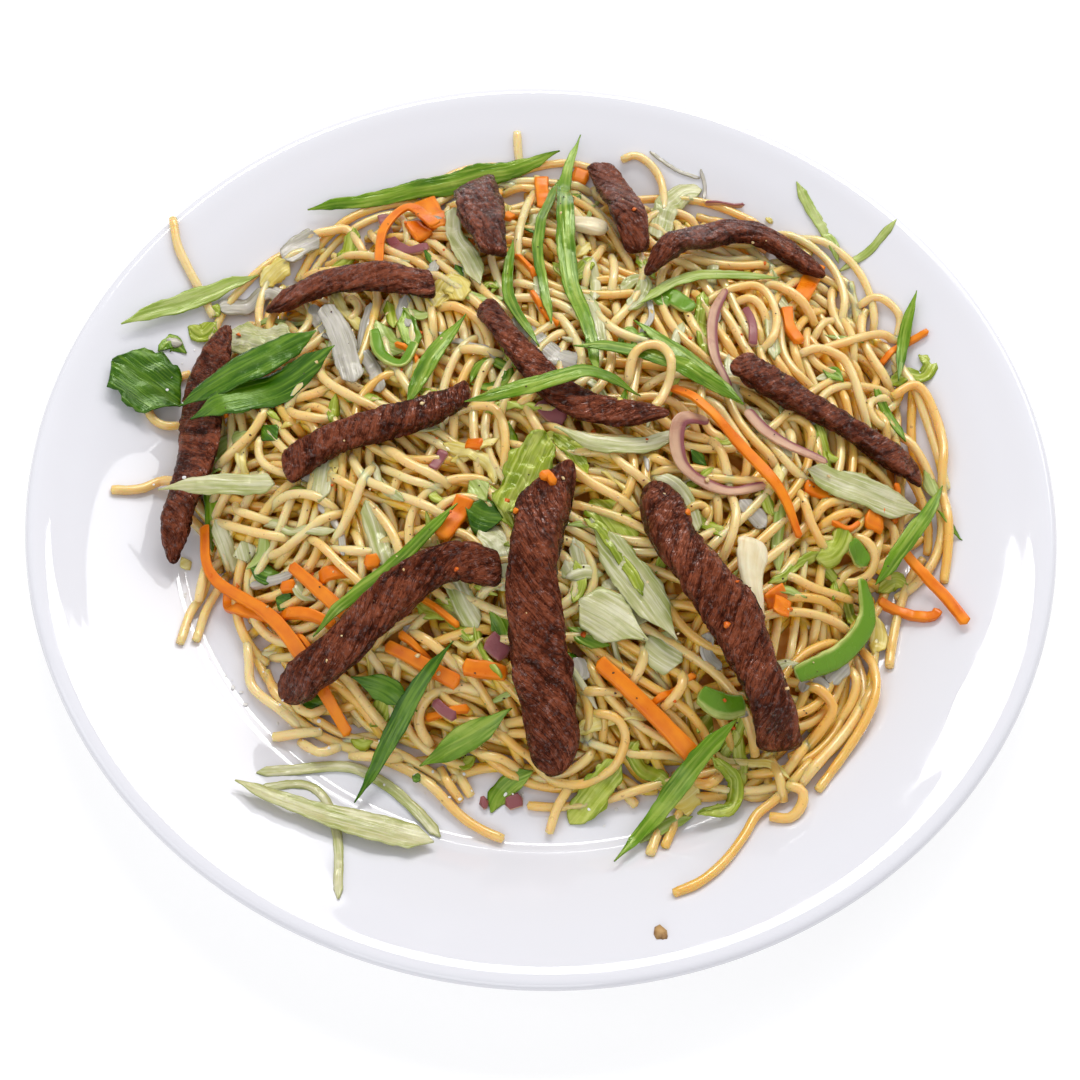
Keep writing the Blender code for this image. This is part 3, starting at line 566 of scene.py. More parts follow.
@dataclass(frozen=True)
class NoodleFinish:
    """Cooked wheat noodle: cream to amber, lightly oiled, with a few darker patches and painted warm shade
    where it lies deep.
    """

    name: str = "wheat_noodle"
    pale: Colour = (0.83, 0.625, 0.305)
    amber: Colour = (0.79, 0.445, 0.1)
    stain: Colour = (0.12, 0.04, 0.012)
    sauce_and_warm_shade: Colour = (0.98, 0.55, 0.07)
    patch_scale: float = 90.0
    freckle_scale: float = 900.0
    gloss_scale: float = 260.0
    grain_scale: float = 700.0
    grain_height: float = 0.0001
    roughness: float = 0.19

    def make(self) -> bpy.types.Material:
        """Builds the material."""
        shader = Shader(self.name)
        place = shader.place((1, 1, 1))
        patches = shader.noise(place, self.patch_scale, 4)
        tone = shader.maths("ADD", shader.attribute("tone"), shader.level(patches, 0.3, 0.7, -0.25, 0.25))
        body = shader.ramp(tone, ((0.05, self.pale), (0.9, self.amber)))
        # Painted warm shade: the deeper a point lies, the more it turns a saturated amber. This stands for
        # sauce and also for the shade and warm bounced light under and between the noodles.
        body = shader.mix(shader.level(shader.attribute("depth"), 0.06, 0.5), body, self.sauce_and_warm_shade)
        freckles = shader.level(shader.noise(place, self.freckle_scale, 2), 0.66, 0.74)
        body = shader.mix(shader.maths("MULTIPLY", freckles, 0.45), body, self.stain)
        shader.link(body, "Base Color")
        gloss = shader.noise(place, self.gloss_scale)
        shader.link(shader.level(gloss, 0.3, 0.7, self.roughness - 0.08, self.roughness + 0.12), "Roughness")
        shader.set(subsurface_weight=0.8, subsurface_radius=(1.0, 0.5, 0.16), subsurface_scale=0.0045,
                   specular_ior_level=0.6, specular_tint=(1.0, 0.92, 0.78, 1.0), coat_weight=0.4,
                   coat_roughness=0.2)
        shader.bump(shader.noise(place, self.grain_scale), 0.35, self.grain_height)
        return shader.material


@dataclass(frozen=True)
class BeefFinish:
    """Fried beef: dark red-brown, its fibres in relief with painted shade in their grooves and on the strips'
    sides, with glints where the glaze holds.
    """

    name: str = "beef"
    dark: Colour = (0.012, 0.0016, 0.0008)
    mid: Colour = (0.062, 0.01, 0.0035)
    light: Colour = (0.21, 0.055, 0.025)
    crumb: Colour = (0.5, 0.27, 0.17)
    patch_scale: float = 420.0
    blush_scale: float = 70.0
    crumb_scale: float = 1700.0
    gloss_scale: float = 520.0
    glint_scale: float = 950.0
    crust_scale: float = 1300.0
    crust_height: float = 0.00022
    roughness: float = 0.26

    def make(self) -> bpy.types.Material:
        """Builds the material."""
        shader = Shader(self.name)
        place = shader.place((1, 1, 1))
        bundles = self.grooved(shader, shader.along(0.13, 9.0), 0.05)
        fibres = self.grooved(shader, shader.along(0.16, 22.0), 0.06)
        fibre_crests_and_groove_shade = shader.maths("MULTIPLY", shader.maths("ADD", bundles, fibres), 0.5)
        patches = shader.noise(place, self.patch_scale, 4)
        blush = shader.noise(place, self.blush_scale, 2)
        # Painted shade: the colour darkens in the grooves between the fibres, and with the attribute "edge",
        # which holds the strips' painted shade.
        tone = shader.weighed((fibre_crests_and_groove_shade, 0.26), (patches, 0.3), (blush, 0.35), (shader.attribute("edge"), 0.26))
        body = shader.ramp(tone, ((0.48, self.dark), (0.65, self.mid), (0.84, self.light)))
        crumbs = shader.level(shader.noise(place, self.crumb_scale, 2), 0.66, 0.74, 0.0, 0.4)
        shader.link(shader.mix(crumbs, body, self.crumb), "Base Color")
        gloss = shader.noise(place, self.gloss_scale)
        shader.link(shader.level(gloss, 0.35, 0.65, self.roughness - 0.14, self.roughness + 0.2), "Roughness")
        shader.link(shader.level(shader.noise(place, self.glint_scale), 0.53, 0.65), "Coat Weight")
        shader.set(specular_ior_level=0.3, specular_tint=(1.0, 0.38, 0.22, 1.0), coat_roughness=0.12)
        crust = shader.maths("MULTIPLY", shader.noise(place, self.crust_scale), 0.8)
        shader.bump(shader.maths("ADD", fibre_crests_and_groove_shade, crust), 0.8, self.crust_height)
        return shader.material

    @staticmethod
    def grooved(shader: Shader, noise: bpy.types.NodeSocket, width: float) -> bpy.types.NodeSocket:
        """Turns noise into fibres: 1 on them, and 0 in the narrow grooves between them.

        Args:
            shader: whose nodes are built.
            noise: the noise.
            width: how far from the noise's middle a groove reaches.

        Returns:
            The fibres.
        """
        away = shader.maths("ABSOLUTE", shader.maths("SUBTRACT", noise, 0.5), 0.0)
        return shader.level(away, 0.0, width)


@dataclass(frozen=True)
class LeafFinish:
    """A leaf: veins along it, lighter towards the ribs, waxy and a little see-through."""

    name: str
    tint: Tint
    vein_scale: float = 14.0
    patch_scale: float = 110.0
    crease_scale: float = 420.0
    vein_height: float = 0.0003
    roughness: float = 0.16
    translucence: float = 0.25
    crumple: float = 0.5

    def make(self) -> bpy.types.Material:
        """Builds the material."""
        shader = Shader(self.name)
        deep, light, rib = self.tint.value
        place = shader.place((1, 1, 1))
        veins = shader.along(0.05, self.vein_scale)
        bands = shader.along(0.12, self.vein_scale * 0.22, 2)
        patches = shader.noise(place, self.patch_scale)
        tone = shader.weighed((bands, 0.6), (patches, 0.45))
        body = shader.ramp(tone, ((0.38, deep), (0.56, light), (0.74, rib)))
        body = shader.mix(shader.level(veins, 0.5, 0.62, 0.0, 0.6), body, rib)
        body = shader.mix(shader.level(veins, 0.36, 0.46, 0.45, 0.0), body, deep)
        edge = shader.attribute("edge")
        body = shader.mix(shader.level(edge, 0.8, 1.0, 0.0, 0.4), body, deep)
        body = shader.mix(shader.level(edge, 0.0, 0.3, 0.3, 0.0), body, rib)
        shader.link(body, "Base Color")
        shader.link(shader.level(patches, 0.3, 0.7, self.roughness - 0.1, self.roughness + 0.16), "Roughness")
        shader.set(subsurface_weight=self.translucence, subsurface_radius=(0.8, 1.0, 0.3),
                   subsurface_scale=0.0015, specular_ior_level=0.5, specular_tint=sheen(rib))
        creases = shader.maths("MULTIPLY", shader.noise(place, self.crease_scale), self.crumple)
        shader.bump(shader.maths("ADD", veins, creases), 0.8, self.vein_height)
        return shader.material


@dataclass(frozen=True)
class FleshFinish:
    """Moist vegetable flesh: two colours in soft patches, with grain along the piece."""

    name: str
    deep: Colour
    light: Colour
    skin: Colour
    skin_share: float = 0.0
    roughness: float = 0.3
    grain_scale: float = 10.0
    patch_scale: float = 160.0
    pore_scale: float = 700.0
    grain_height: float = 0.00014
    translucence: float = 0.25

    def make(self) -> bpy.types.Material:
        """Builds the material."""
        shader = Shader(self.name)
        place = shader.place((1, 1, 1))
        grain = shader.along(0.08, self.grain_scale)
        patches = shader.noise(place, self.patch_scale)
        tone = shader.weighed((grain, 0.5), (patches, 0.5))
        body = shader.ramp(tone, ((0.36, self.deep), (0.62, self.light)))
        if self.skin_share:
            skin = shader.level(shader.attribute("edge"), 1.0 - self.skin_share, 1.0 - 0.6 * self.skin_share)
            body = shader.mix(skin, body, self.skin)
        shader.link(body, "Base Color")
        shader.link(shader.level(patches, 0.3, 0.7, self.roughness - 0.08, self.roughness + 0.16),
                    "Roughness")
        shader.set(subsurface_weight=self.translucence, subsurface_radius=(1.0, 0.5, 0.2),
                   subsurface_scale=0.0018, specular_ior_level=0.5, specular_tint=sheen(self.light))
        pores = shader.maths("MULTIPLY", shader.noise(place, self.pore_scale), 0.5)
        shader.bump(shader.maths("ADD", grain, pores), 0.45, self.grain_height)
        return shader.material


@dataclass(frozen=True)
class GlazeFinish:
    """White dinnerware glaze, with the faintest waviness and a gloss that varies a little from place to
    place.
    """

    name: str = "white_glaze"
    white: Colour = (0.735, 0.73, 0.77)
    tint_scale: float = 9.0
    gloss_scale: float = 60.0
    wave_scale: float = 26.0
    wave_height: float = 0.0004

    def make(self) -> bpy.types.Material:
        """Builds the material."""
        shader = Shader(self.name)
        place = shader.place((1, 1, 1))
        shade = tuple(channel * 0.985 for channel in self.white)
        tint = shader.noise(place, self.tint_scale, 2)
        shader.link(shader.ramp(tint, ((0.3, self.white), (0.7, shade))), "Base Color")
        gloss = shader.noise(place, self.gloss_scale, 4)
        shader.link(shader.level(gloss, 0.45, 0.62, 0.03, 0.1), "Roughness")
        shader.set(specular_ior_level=0.5, coat_weight=0.2, coat_roughness=0.03)
        shader.bump(shader.noise(place, self.wave_scale, 2), 0.12, self.wave_height)
        return shader.material


@dataclass(frozen=True)
class PlainFinish:
    """A small thing of nearly one colour, such as a speck of pepper or the floor."""

    name: str
    dark: Colour
    light: Colour
    scale: float = 300.0
    roughness: float = 0.5
    glow: float = 0.0

    def make(self) -> bpy.types.Material:
        """Builds the material."""
        shader = Shader(self.name)
        place = shader.place((1, 1, 1))
        shader.link(shader.ramp(shader.noise(place, self.scale, 3), ((0.35, self.dark), (0.65, self.light))),
                    "Base Color")
        shader.set(roughness=self.roughness, specular_ior_level=0.3, emission_strength=self.glow,
                   emission_color=(1.0, 1.0, 1.0, 1.0))
        return shader.material


# ---------------------------------------------------------------------------------------
# Shapes
# ---------------------------------------------------------------------------------------


def smooth_route(points: Sequence[Place], step: float) -> np.ndarray:
    """Evenly spaced places on a Catmull-Rom curve through the given ones.

    Args:
        points: places in the plan.
        step: the spacing.

    Returns:
        An array of places.
    """
    samples = 30
    known = np.array(points, float)
    padded = np.vstack([2 * known[0] - known[1], known, 2 * known[-1] - known[-2]])
    fine = []
    for before, start, end, after in zip(padded, padded[1:], padded[2:], padded[3:]):
        t = np.linspace(0, 1, samples, endpoint=False)[:, None]
        bend = (2 * before - 5 * start + 4 * end - after) * t**2
        twist = (3 * start - before - 3 * end + after) * t**3
        fine.append((2 * start + (end - before) * t + bend + twist) / 2)
    line = np.vstack(fine + [known[-1:]])
    travel = np.concatenate([[0], np.cumsum(np.linalg.norm(np.diff(line, axis=0), axis=1))])
    marks = np.linspace(0, travel[-1], max(4, round(travel[-1] / step) + 1))
    return np.stack([np.interp(marks, travel, column) for column in line.T], axis=1)


def travel_along(route: np.ndarray) -> np.ndarray:
    """The distance travelled at each place of an evenly spaced route."""
    return np.arange(len(route)) * float(np.linalg.norm(route[1] - route[0]))


def side_of(route: np.ndarray) -> np.ndarray:
    """The unit vector to the left of a route at each of its places."""
    along = np.gradient(route[:, :2], axis=0)
    along /= np.linalg.norm(along, axis=1)[:, None] + 1e-9
    return np.stack([-along[:, 1], along[:, 0]], axis=1)


def blurred(values: np.ndarray, reach: int) -> np.ndarray:
    """A running mean, with the ends held.

    Args:
        values: the values.
        reach: how many neighbours on each side.

    Returns:
        The smoothed values.
    """
    padded = np.pad(values, reach, mode="edge")
    return np.convolve(padded, np.ones(2 * reach + 1) / (2 * reach + 1), "valid")


def ripple(x: np.ndarray, y: np.ndarray, size: float, seed: float) -> np.ndarray:
    """Smooth irregular waves from about -1 to 1.

    Args:
        x: first coordinates.
        y: second coordinates.
        size: the distance over which they change.
        seed: which waves.

    Returns:
        The wave at each place.
    """
    total = np.zeros(np.broadcast(x, y).shape)
    for k in range(5):
        turn = seed * 1.7 + k * 2.4
        pitch = 2 * math.pi / size * (0.55 + 0.28 * k)
        total += np.sin((x * math.cos(turn) + y * math.sin(turn)) * pitch + seed * 3.1 + k * k)
    return total / 3.2


def cloud(points: np.ndarray, size: float, seed: int) -> np.ndarray:
    """Smooth three-dimensional noise from -1 to 1.

    Args:
        points: places, with their axes last.
        size: the size of its blobs.
        seed: which noise.

    Returns:
        The noise at each place.
    """
    scaled = np.asarray(points, float) / size
    base = np.floor(scaled).astype(np.int64)
    part = scaled - base
    part = part * part * (3 - 2 * part)
    table = np.random.default_rng(seed).uniform(-1, 1, 4096)
    total = np.zeros(scaled.shape[:-1])
    for corner in np.ndindex(2, 2, 2):
        lattice = base + np.array(corner)
        key = (lattice[..., 0] * 73856093 ^ lattice[..., 1] * 19349663 ^ lattice[..., 2] * 83492791) & 4095
        weight = np.prod(np.where(np.array(corner) == 1, part, 1 - part), axis=-1)
        total += table[key] * weight
    return total


def deselect_all() -> None:
    """Leaves nothing selected."""
    for obj in bpy.context.selected_objects:
        obj.select_set(False)


def store(mesh: bpy.types.Mesh, name: str, values: np.ndarray) -> None:
    """Stores a number on each of a mesh's points.

    Args:
        mesh: the mesh.
        name: the attribute's name.
        values: the numbers, in the points' order.
    """
    mesh.attributes.new(name, "FLOAT", "POINT").data.foreach_set("value", values.astype(np.float32))


def weld() -> None:
    """Makes one closed surface of the active mesh where its points meet."""
    bpy.ops.object.mode_set(mode="EDIT")
    bpy.ops.mesh.select_all(action="SELECT")
    bpy.ops.mesh.remove_doubles(threshold=WELD * MM)
    bpy.ops.mesh.normals_make_consistent(inside=False)
    bpy.ops.object.mode_set(mode="OBJECT")


def wrapped(name: str, rings: np.ndarray, uv: np.ndarray, edge: np.ndarray, closed: bool) -> bpy.types.Object:
    """A grid primitive wrapped through rings of points.

    Args:
        name: the piece's name.
        rings: points in millimetres, as [ring, place on the ring, axis].
        uv: UV coordinates of the same points.
        edge: a number for each point, stored as the attribute "edge".
        closed: whether each ring closes on itself and the end rings close to a point.

    Returns:
        The piece, with its place in its mesh.
    """
    deselect_all()
    count, sides = rings.shape[:2]
    bpy.ops.mesh.primitive_grid_add(x_subdivisions=sides - 1, y_subdivisions=count - 1, size=2)
    piece = bpy.context.active_object
    piece.name = piece.data.name = name
    mesh = piece.data
    flat = np.empty(len(mesh.vertices) * 3, np.float32)
    mesh.vertices.foreach_get("co", flat)
    flat = flat.reshape(-1, 3)
    across = np.rint((flat[:, 0] + 1) / 2 * (sides - 1)).astype(int)
    along = np.rint((flat[:, 1] + 1) / 2 * (count - 1)).astype(int)
    mesh.vertices.foreach_set("co", (rings[along, across] * MM).astype(np.float32).ravel())
    corners = np.empty(len(mesh.loops), np.int32)
    mesh.loops.foreach_get("vertex_index", corners)
    mesh.uv_layers.active.data.foreach_set("uv", uv[along, across][corners].astype(np.float32).ravel())
    store(mesh, "edge", edge[along, across])
    mesh.update()
    if closed:
        weld()
    bpy.ops.object.shade_smooth()
    return piece


def thickened(piece: bpy.types.Object, thickness: float) -> bpy.types.Object:
    """Gives a sheet its thickness, in millimetres.

    Args:
        piece: the sheet.
        thickness: the distance between its faces.

    Returns:
        The same piece.
    """
    modifier = piece.modifiers.new("thickness", "SOLIDIFY")
    modifier.thickness = thickness * MM
    modifier.offset = 0.0
    bpy.context.view_layer.objects.active = piece
    bpy.ops.object.modifier_apply(modifier=modifier.name)
    return piece


def joined(name: str, pieces: list[bpy.types.Object]) -> bpy.types.Object:
    """Joins pieces into one object.

    Args:
        name: the joined piece's name.
        pieces: the pieces.

    Returns:
        The joined piece.
    """
    deselect_all()
    for piece in pieces:
        piece.select_set(True)
    bpy.context.view_layer.objects.active = pieces[0]
    bpy.ops.object.join()
    made = bpy.context.active_object
    made.name = made.data.name = name
    return made


def dress(piece: bpy.types.Object, finish: bpy.types.Material, slot: Material,
          *nodes: str) -> bpy.types.Object:
    """Gives a piece its finish and its place in the object.

    Args:
        piece: the piece.
        finish: its material.
        slot: the material slot; not used.
        nodes: the CAD nodes that it stands for.

    Returns:
        The same piece.
    """
    piece.data.materials.clear()
    piece.data.materials.append(finish)
    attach(piece, BODY)
    if nodes:
        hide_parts(*nodes)
    LOG.info("%s: %d faces", piece.name, len(piece.data.polygons))
    return piece


class Probe:
    """Reads the surfaces of a CAD node, in millimetres."""

    def __init__(self, node: str) -> None:
        """Reads the node.

        Args:
            node: the node's name.
        """
        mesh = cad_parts[node].data
        self.tree = BVHTree.FromPolygons([v.co for v in mesh.vertices], [p.vertices for p in mesh.polygons])
        low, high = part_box(node)
        self.low = np.array(low) / MM
        self.high = np.array(high) / MM

    def height(self, x: float, y: float, down: bool = True) -> float:
        """The highest or lowest surface over a place.

        Args:
            x: the place.
            y: the place.
            down: True for the highest, False for the lowest.

        Returns:
            The height, or nan where the node isn't.
        """
        start = Vector((x * MM, y * MM, 1.0 if down else -1.0))
        hit = self.tree.ray_cast(start, Vector((0, 0, -1 if down else 1)))[0]
        return hit.z / MM if hit else math.nan


@dataclass
class Lie:
    """How a topping lies: its route and, at each place, side, half width, heights and tilt."""

    route: np.ndarray
    side: np.ndarray
    half: np.ndarray
    low: np.ndarray
    high: np.ndarray
    tilt: np.ndarray

    @property
    def middle(self) -> np.ndarray:
        """The height halfway through the piece."""
        return (self.low + self.high) / 2

    @property
    def travel(self) -> np.ndarray:
        """The distance travelled at each place."""
        return travel_along(self.route)


def filled(values: np.ndarray, fallback: float) -> np.ndarray:
    """The values with gaps filled from their neighbours.

    Args:
        values: values with nan in the gaps.
        fallback: what to use where all are gaps.

    Returns:
        Values without gaps.
    """
    known = ~np.isnan(values)
    if not known.any():
        return np.full(len(values), fallback)
    return np.interp(np.arange(len(values)), np.nonzero(known)[0], values[known])


def lie_of(cut: Cut, step: float) -> Lie:
    """Reads how a topping lies from its CAD node.

    Args:
        cut: the topping.
        step: the spacing of the places.

    Returns:
        Its lie.
    """
    feeler = 0.55  # how far from the route the tilt is felt, as a share of the half width
    probe = Probe(cut.node)
    route = smooth_route(cut.route, step)
    side = side_of(route)
    marks = np.linspace(0, len(cut.widths) - 1, len(route))
    half = blurred(np.interp(marks, range(len(cut.widths)), cut.widths), 3) / 2
    middle = float(probe.low[2] + probe.high[2]) / 2
    high = filled(np.array([probe.height(x, y) for x, y in route]), middle)
    low = filled(np.array([probe.height(x, y, False) for x, y in route]), middle)
    left = route + side * half[:, None] * feeler
    right = route - side * half[:, None] * feeler
    rise = [probe.height(*a, False) - probe.height(*b, False) for a, b in zip(left, right)]
    tilt = filled(np.array(rise), 0.0) / (2 * feeler * half)
    reach = max(1, round(1.6 / step))
    return Lie(route, side, half, blurred(low, reach), blurred(high, reach),
               blurred(np.clip(tilt, -0.6, 0.6), 2 * reach))


def end_fade(travel: np.ndarray, distance: float) -> np.ndarray:
    """A rounded fade to nothing at both ends of a piece.

    Args:
        travel: distances along it.
        distance: how far the fade reaches.

    Returns:
        Shares from 0 to 1.
    """
    from_end = np.minimum(travel, travel[-1] - travel)
    share = np.clip(from_end / distance, 0, 1)
    return np.sqrt(1 - (1 - share) ** 2)


def strip_points(lie: Lie, across: np.ndarray, up: np.ndarray) -> np.ndarray:
    """Points beside and above a topping's route.

    Args:
        lie: how it lies.
        across: millimetres to the left, as [place, point].
        up: millimetres above its middle, as [place, point].

    Returns:
        Points as [place, point, axis].
    """
    plan = lie.route[:, None, :] + lie.side[:, None, :] * across[..., None]
    height = lie.middle[:, None] + lie.tilt[:, None] * across + up
    return np.concatenate([plan, height[..., None]], axis=2)


class View:
    """The photograph's point of view, which turns places in the picture into places in the plan."""

    ELEVATION = math.radians(62.31)
    ROLL = math.radians(-2.81)
    LENS = 49.22
    SENSOR = 36.0
    DISTANCE = 400.0
    AIM = Vector((-0.23, -11.93, 0.0))
    PICTURE = 1080
    FIRST_GUESS = 20.0

    def __init__(self) -> None:
        """Works out the view's axes."""
        self.forward = Vector((0, math.cos(self.ELEVATION), -math.sin(self.ELEVATION)))
        right = Vector((1, 0, 0))
        up = right.cross(self.forward)
        self.right = right * math.cos(self.ROLL) - up * math.sin(self.ROLL)
        self.up = right * math.sin(self.ROLL) + up * math.cos(self.ROLL)
        self.eye = self.AIM - self.forward * self.DISTANCE

    def plan(self, spot: Place, ground: Ground) -> Place:
        """The place in the plan that shows at a place in the picture.

        Args:
            spot: the place in the picture, in pixels from its upper left.
            ground: the surface that is seen.

        Returns:
            The place in the plan, in millimetres.
        """
        focal = self.LENS / self.SENSOR * self.PICTURE
        ray = self.forward * focal + self.right * (spot[0] - self.PICTURE / 2)
        ray += self.up * (self.PICTURE / 2 - spot[1])
        height = self.FIRST_GUESS
        for _ in range(24):
            found = self.eye + ray * ((height - self.eye.z) / ray.z)
            height = (height + ground.surface(found.x, found.y)) / 2
        return found.x, found.y

    def route(self, spots: Sequence[Place], ground: Ground, step: float) -> np.ndarray:
        """The route in the plan that shows through places in the picture.

        Args:
            spots: the places in the picture.
            ground: the surface that is seen.
            step: the spacing of the route's places.

        Returns:
            An array of places.
        """
        return smooth_route([self.plan(spot, ground) for spot in spots], step)

    def camera(self) -> None:
        """Puts the camera there."""
        data = bpy.data.cameras.new("camera")
        data.lens = self.LENS
        data.sensor_width = self.SENSOR
        data.clip_start = 0.01
        camera = bpy.data.objects.new("camera", data)
        bpy.context.scene.collection.objects.link(camera)
        matrix = Matrix((self.right, self.up, -self.forward)).transposed().to_4x4()
        matrix.translation = self.eye * MM
        camera.matrix_world = matrix
        bpy.context.scene.camera = camera


# ---------------------------------------------------------------------------------------
# The plate
# ---------------------------------------------------------------------------------------


@dataclass
class Plate:
    """The dinner plate, turned finer than its solid on the same profile."""

    segments: int = 200
    top: tuple[Place, ...] = (
        (0, 4.2), (60, 4.2), (94, 4.2), (98, 4.7), (101, 5.6), (108, 9.2), (118, 14.2), (125, 17.1),
        (129, 18.7), (131.4, 19.4), (132.7, 19.55), (133.8, 19.2), (134.3, 18.4),
    )
    under: tuple[Place, ...] = (
        (134.1, 17.6), (132.8, 16.9), (128.5, 14.9), (120, 11.0), (104, 4.2), (89, 1.6), (85.6, 0.5),
        (85, 0), (78, 0), (76.6, 0.7), (75, 1.2), (40, 1.2), (0, 1.2),
    )

    @staticmethod
    def height(x: np.ndarray | float, y: np.ndarray | float) -> np.ndarray:
        """The plate's upper surface, in millimetres."""
        radii, heights = zip(*Plate.top)
        return np.interp(np.hypot(x, y), radii, heights)

    def build(self, finish: bpy.types.Material) -> bpy.types.Object:
        """Turns the plate.

        Args:
            finish: the glaze.

        Returns:
            The plate.
        """
        upper = smooth_route(self.top, 1.2)
        lower = smooth_route(self.under, 1.6)
        profile = np.vstack([upper, lower])
        profile[:, 0] = np.clip(profile[:, 0], 0, 135.0)
        profile[:, 1] = np.maximum(profile[:, 1], 0.0)
        turn = np.linspace(0, 2 * math.pi, self.segments + 1)
        rings = np.stack([
            profile[:, :1] * np.cos(turn),
            profile[:, :1] * np.sin(turn),
            np.repeat(profile[:, 1:], len(turn), axis=1),
        ], axis=2)
        uv = np.stack(np.broadcast_arrays(turn / 2 / math.pi, profile[:, :1] / 135), axis=2)
        piece = wrapped("dinner_plate", rings, uv, np.zeros(rings.shape[:2]), True)
        return dress(piece, finish, Material.GLAZE, "plate")


# ---------------------------------------------------------------------------------------
# The heap of noodles
# ---------------------------------------------------------------------------------------


class Ground:
    """Heights over the plan, in millimetres, on a square grid: what noodles lie on and under."""

    CELL = 0.6
    HALF = 138.0
    CORE_DEPTH = 7.5
    # The noodles end sooner beside the left-hand beef, in these directions and by this much.
    THIN_FROM, THIN_TO, THIN_BY = 158, 200, 7.0

    def __init__(self, covers: dict[str, Probe]) -> None:
        """Reads the heap and what lies on it from the frame.

        Args:
            covers: each topping's node and its probe.
        """
        ticks = np.arange(-self.HALF, self.HALF + self.CELL, self.CELL)
        self.x, self.y = np.meshgrid(ticks, ticks, indexing="ij")
        heap = self.scan(Probe("noodles"), True)
        self.mound = self.opened(np.where(np.isnan(heap), NOWHERE, heap))
        self.plate = Plate.height(self.x, self.y)
        self.under = np.full(self.x.shape, SKY)
        self.over = np.full(self.x.shape, NOWHERE)
        for probe in covers.values():
            low, high = self.scan(probe, False), self.scan(probe, True)
            self.under = np.fmin(self.under, low)
            self.over = np.fmax(self.over, high)
        self.reach = self.outline()
        self.core = np.maximum(self.plate, np.where(self.mound > 0, self.mound - self.CORE_DEPTH, 0))
        self.top = self.core.copy()

    def scan(self, probe: Probe, down: bool) -> np.ndarray:
        """Reads a node over the grid.

        Args:
            probe: the node.
            down: True for its top, False for its underside.

        Returns:
            Heights, nan where the node isn't.
        """
        heights = np.full(self.x.shape, np.nan)
        near = (self.x > probe.low[0]) & (self.x < probe.high[0])
        near &= (self.y > probe.low[1]) & (self.y < probe.high[1])
        for cell in zip(*np.nonzero(near)):
            heights[cell] = probe.height(self.x[cell], self.y[cell], down)
        return heights

    @staticmethod
    def around(grid: np.ndarray, reach: int, pick: np.ufunc) -> np.ndarray:
        """The lowest or highest value near each cell.

        Args:
            grid: the values.
            reach: how many cells away.
            pick: np.minimum or np.maximum.

        Returns:
            The picked values.
        """
        out = grid
        for axis in (0, 1):
            picked = out
            for k in range(1, reach + 1):
                picked = pick(picked, pick(np.roll(out, k, axis), np.roll(out, -k, axis)))
            out = picked
        return out

    def opened(self, heap: np.ndarray) -> np.ndarray:
        """The mound without the noodles that stand out of it.

        Args:
            heap: the heap's top.

        Returns:
            The mound's top.
        """
        thin, soft = 4, 3  # cells: how thin a noodle is taken off, and how far the rest is smoothed
        low = self.around(heap, thin, np.minimum)
        out = self.around(low, thin, np.maximum)
        for axis in (0, 1):
            out = sum(np.roll(out, k, axis) for k in range(-soft, soft + 1)) / (2 * soft + 1)
        return out

    def outline(self) -> np.ndarray:
        """How far the heap reaches in each of 360 directions."""
        near = 6  # degrees on either side that the reach is smoothed over
        found = np.zeros(360)
        direction = np.rint(np.degrees(np.arctan2(self.y, self.x))).astype(int) % 360
        solid = self.mound > 0
        np.maximum.at(found, direction[solid], np.hypot(self.x, self.y)[solid])
        all_round = np.concatenate([found[-near:], found, found[:near]])
        reach = np.convolve(all_round, np.ones(2 * near + 1) / (2 * near + 1), "valid")
        reach[self.THIN_FROM:self.THIN_TO] -= self.THIN_BY
        return reach

    def cells(self, places: np.ndarray) -> tuple[np.ndarray, np.ndarray]:
        """The grid indexes of places, whose last axis starts with x and y."""
        index = np.clip(np.rint((places[..., :2] + self.HALF) / self.CELL).astype(int), 0, len(self.x) - 1)
        return index[..., 0], index[..., 1]

    def cover_all(self) -> None:
        """Lets what comes next lie on the toppings too."""
        self.top = np.maximum(self.top, self.over)

    def surface(self, x: float, y: float) -> float:
        """The height of what the eye sees at a place, toppings aside."""
        cell = self.cells(np.array((x, y)))
        return max(float(self.mound[cell]) + 1.2, float(self.plate[cell]) + 1.0)


@dataclass
class Strand:
    """One noodle: its points, half its thickness, and its tone from 0 for pale to 1 for amber."""

    points: np.ndarray
    radius: float
    tone: float


